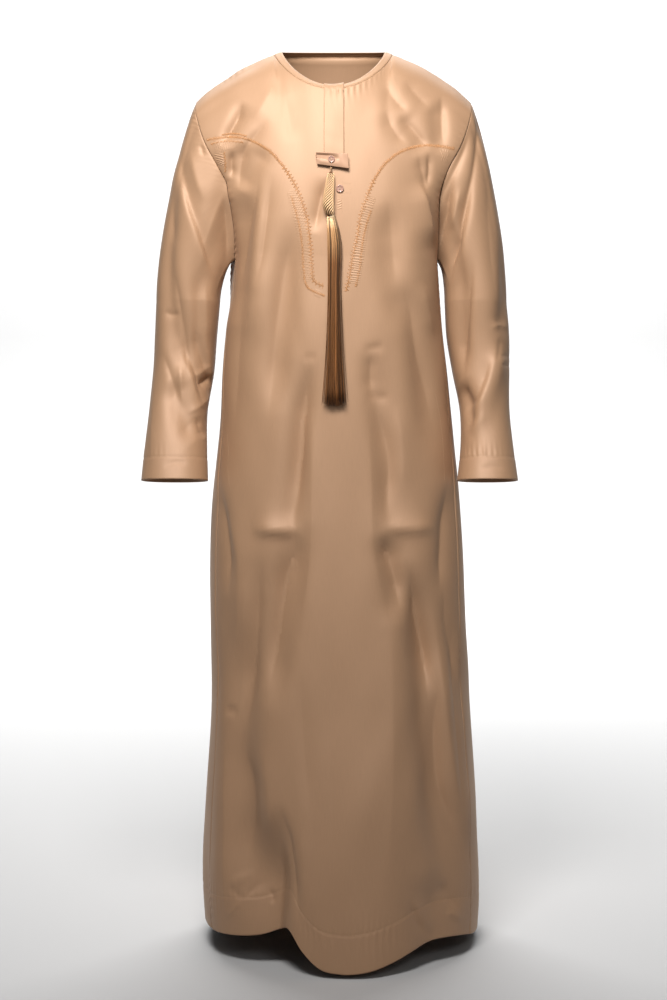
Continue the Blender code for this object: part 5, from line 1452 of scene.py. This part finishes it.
def two_tones(made, colour, dark, light, share):
    """A colour between a darker and a lighter tone of itself."""
    ends = {6: (*(c * dark for c in colour), 1), 7: (*(min(1, c * light) for c in colour), 1)}
    return add_node(made, "ShaderNodeMix", ends, {0: share}, data_type="RGBA").outputs[2]


def glossy(name, colour, roughness):
    """Shining thread with a little change of tone."""
    made, shader = new_material(name)
    place = add_node(made, "ShaderNodeTexCoord").outputs["Object"]
    noise = add_node(made, "ShaderNodeTexNoise", {"Scale": 900.0}, {"Vector": place}).outputs["Fac"]
    tone = two_tones(made, colour, 0.72, 1.20, noise)
    feed(made, shader, {"Roughness": roughness}, {"Base Color": tone})
    return made


def tassel_thread(name):
    """Thread that is golden at its neck and dark brown below, in a slightly different tone each."""
    made = glossy(name, (0.2, 0.1, 0.05), 0.50)
    shader = made.node_tree.nodes["Principled BSDF"]
    place = add_node(made, "ShaderNodeUVMap", uv_map="UVMap").outputs["UV"]
    parts = add_node(made, "ShaderNodeSeparateXYZ", {}, {"Vector": place}).outputs
    reach = {"From Min": 0.0, "From Max": 0.300}
    down = add_node(made, "ShaderNodeMapRange", reach, {"Value": parts["Y"]}).outputs["Result"]
    ramp = add_node(made, "ShaderNodeValToRGB", {}, {"Fac": down})
    stops = ramp.color_ramp.elements
    stops[0].color = (0.78, 0.52, 0.29, 1)
    stops[1].color = (0.16, 0.064, 0.020, 1)
    stops.new(0.08).color = (0.48, 0.27, 0.12, 1)
    stops.new(0.26).color = (0.20, 0.082, 0.026, 1)
    spread = {"To Min": 0.22, "To Max": 2.3}
    each = add_node(made, "ShaderNodeMapRange", spread, {"Value": parts["X"]}).outputs["Result"]
    sources = {0: ramp.outputs["Color"], "Scale": each}
    strand = add_node(made, "ShaderNodeVectorMath", {}, sources, operation="SCALE")
    feed(made, shader, {"Specular IOR Level": 0.3}, {"Base Color": strand.outputs["Vector"]})
    return made


def shell_button(name):
    """A pinkish, half-clear button with a clear gloss."""
    made = glossy(name, (0.50, 0.29, 0.22), 0.24)
    looks = {"Coat Weight": 0.6, "Coat Roughness": 0.08, "Transmission Weight": 0.25}
    feed(made, made.node_tree.nodes["Principled BSDF"], looks)
    return made

def satin(name, colour=(0.372, 0.218, 0.122)):
    """The robe's satin: smooth, softly shining and finely streaked along its threads."""
    made, shader = new_material(name)
    place = add_node(made, "ShaderNodeUVMap", uv_map="UVMap").outputs["UV"]
    streaks = []
    for stretch, detail in (((900, 40, 1), 3.0), ((60, 1400, 1), 2.0)):
        drawn = add_node(made, "ShaderNodeMapping", {"Scale": stretch}, {"Vector": place}).outputs["Vector"]
        noise = add_node(made, "ShaderNodeTexNoise", {"Scale": 1.0, "Detail": detail}, {"Vector": drawn})
        streaks.append(noise.outputs["Fac"])
    woven = add_node(made, "ShaderNodeMath", {}, dict(enumerate(streaks)), operation="ADD").outputs["Value"]
    bump = add_node(made, "ShaderNodeBump", {"Strength": 0.03, "Distance": 0.0002}, {"Height": woven})
    tone = two_tones(made, colour, 0.92, 1.06, streaks[0])
    looks = {
        "Roughness": 0.60,
        "Metallic": 0.15,
        "Sheen Weight": 0.06,
        "Sheen Roughness": 0.40,
        "Sheen Tint": (1.0, 0.88, 0.74, 1),
        "Specular IOR Level": 0.55,
    }
    feed(made, shader, looks, {"Base Color": tone, "Normal": bump.outputs["Normal"]})
    return made


def plain(name, colour, roughness):
    """A material of one colour for the floor and backdrop."""
    made, shader = new_material(name)
    feed(made, shader, {"Base Color": (*colour, 1), "Roughness": roughness})
    return made


def area_light(name, place, target, size, power, colour, spread=180):
    """A soft rectangular light that looks at a target."""
    data = bpy.data.lights.new(name, "AREA")
    data.shape = "RECTANGLE"
    data.size, data.size_y = size
    data.spread = math.radians(spread)
    data.energy = power
    data.color = colour
    obj = bpy.data.objects.new(name, data)
    obj.location = place
    obj.rotation_mode = "QUATERNION"
    obj.rotation_quaternion = (Vector(target) - Vector(place)).to_track_quat("-Z", "Y")
    bpy.context.scene.collection.objects.link(obj)


def studio():
    """The floor with its curved backdrop, the lights and the camera."""
    pale = plain("pale_floor", (0.42, 0.42, 0.42), 0.85)
    bends = np.linspace(0.1, math.pi / 2, 10)
    profile = [(-7.0, 0.0), (7.0, 0.0)]
    profile += [(7.0 + 1.2 * math.sin(a), 1.2 - 1.2 * math.cos(a)) for a in bends]
    profile.append((8.2, 9.0))
    points = [(x, y, z - FLOOR_GAP) for y, z in profile for x in (-8.0, 8.0)]
    faces = [(2 * k, 2 * k + 1, 2 * k + 3, 2 * k + 2) for k in range(len(profile) - 1)]
    mesh_object("floor", points, faces, pale)

    area_light("key", (-0.20, -1.20, 0.72), (0.0, 0.0, -0.40), (0.6, 0.6), 15, (1.0, 0.98, 0.97), 95)
    area_light("fill", (0.7, -2.4, 0.2), (0.0, 0.0, -0.3), (0.8, 0.8), 8, (1.0, 0.98, 0.97))
    area_light("backdrop_light", (0.0, 3.4, 4.2), (0.0, 7.2, -0.8), (6.0, 1.0), 1300, (1, 1, 1))

    world = bpy.data.worlds.new("studio")
    bpy.context.scene.world = world
    world.use_nodes = True
    world.node_tree.nodes["Background"].inputs["Color"].default_value = (1, 1, 1, 1)
    world.node_tree.nodes["Background"].inputs["Strength"].default_value = 0.10

    data = bpy.data.cameras.new("camera")
    data.sensor_width = 36
    data.lens = CAMERA_LENS
    data.shift_y = CAMERA_SHIFT
    camera = bpy.data.objects.new("camera", data)
    camera.location = (0, -CAMERA_DISTANCE, CAMERA_HEIGHT - ORIGIN_HEIGHT)
    camera.rotation_euler = (math.pi / 2, 0, 0)
    bpy.context.scene.collection.objects.link(camera)
    bpy.context.scene.camera = camera


def main():
    bpy.context.scene.view_settings.view_transform = "Standard"
    pieces = cloth_grids()
    made = {}
    for name, grid in pieces.items():
        closed = name in CLOSED
        stride = 2 if name == "neckband" else 4
        out = grid_normals(grid, closed)
        obj = shell(name + "_cloth", grid, out, satin(name + "_satin"), closed, CLOTH, stride)
        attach(obj, "root")
        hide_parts(name)
        made[name] = obj

    cloth = Cloth(pieces, list(pieces))
    strip, groups = placket(pieces, cloth, satin("placket_satin"))
    layers = Cloth(pieces, ["front_panel", "neckband", "placket"])
    # The tab's satin is a slightly lighter, pinker copy of the robe's satin: painted highlight on the tab.
    loop, base = tab(layers, satin("tab_satin", (0.39, 0.225, 0.135)))
    shell_look = shell_button("button_shell")
    # The button holes' near-black brown is painted shade.
    hole_shade = glossy("button_hole_painted_shade", (0.10, 0.05, 0.035), 0.6)
    x, z = UPPER_BUTTON
    upper = button("button_upper_shell", (x, base - 0.0036, z), UPPER_BUTTON_RADIUS, shell_look, hole_shade)
    x, z = LOWER_BUTTON
    rest = min(layers.under(x + dx, z + dz)[0][1] for dx in (-0.006, 0, 0.006) for dz in (-0.006, 0, 0.006))
    lower = button("button_lower_shell", (x, rest - 0.0005, z), LOWER_BUTTON_RADIUS, shell_look, hole_shade)
    strands, core = cord(layers, base - 0.0019)
    hanging, binding = fringe(layers)
    sewing = glossy("sewing_thread", (0.42, 0.27, 0.155), 0.45)
    seams = stitch_object("seam_stitches", seam_stitches(pieces) + groups, SEWING_RADIUS, sewing)
    inner = stitch_object("pocket_stitches", cloth_stitches(layers), SEWING_RADIUS, sewing)
    thread = glossy("button_thread", (0.60, 0.42, 0.28), 0.4)
    sewn_on = stitch_object("button_threads", [upper[2], lower[2]], BUTTON_THREAD_RADIUS, thread)
    rows = embroidery(cloth)
    drawn = ripples(cloth, made["front_panel"].data.materials[0])

    trims = [
        (strip, "placket", "robe_satin"),
        (loop, "tab", "robe_satin"),
        (upper[0], "button_upper", "button_shell"),
        (lower[0], "button_lower", "button_shell"),
        (strands, "tassel_cord", "cord_thread"),
        (hanging, "tassel_fringe", "fringe_thread"),
        (upper[1], None, None),
        (lower[1], None, None),
        (core, None, "cord_thread"),
        (binding, None, "cord_thread"),
        (seams, None, None),
        (inner, None, None),
        (sewn_on, None, None),
        (rows, None, None),
        (drawn, None, "robe_satin"),
    ]
    for obj, node, slot in trims:
        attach(obj, "root")
        if node:
            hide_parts(node)
    studio()


main()
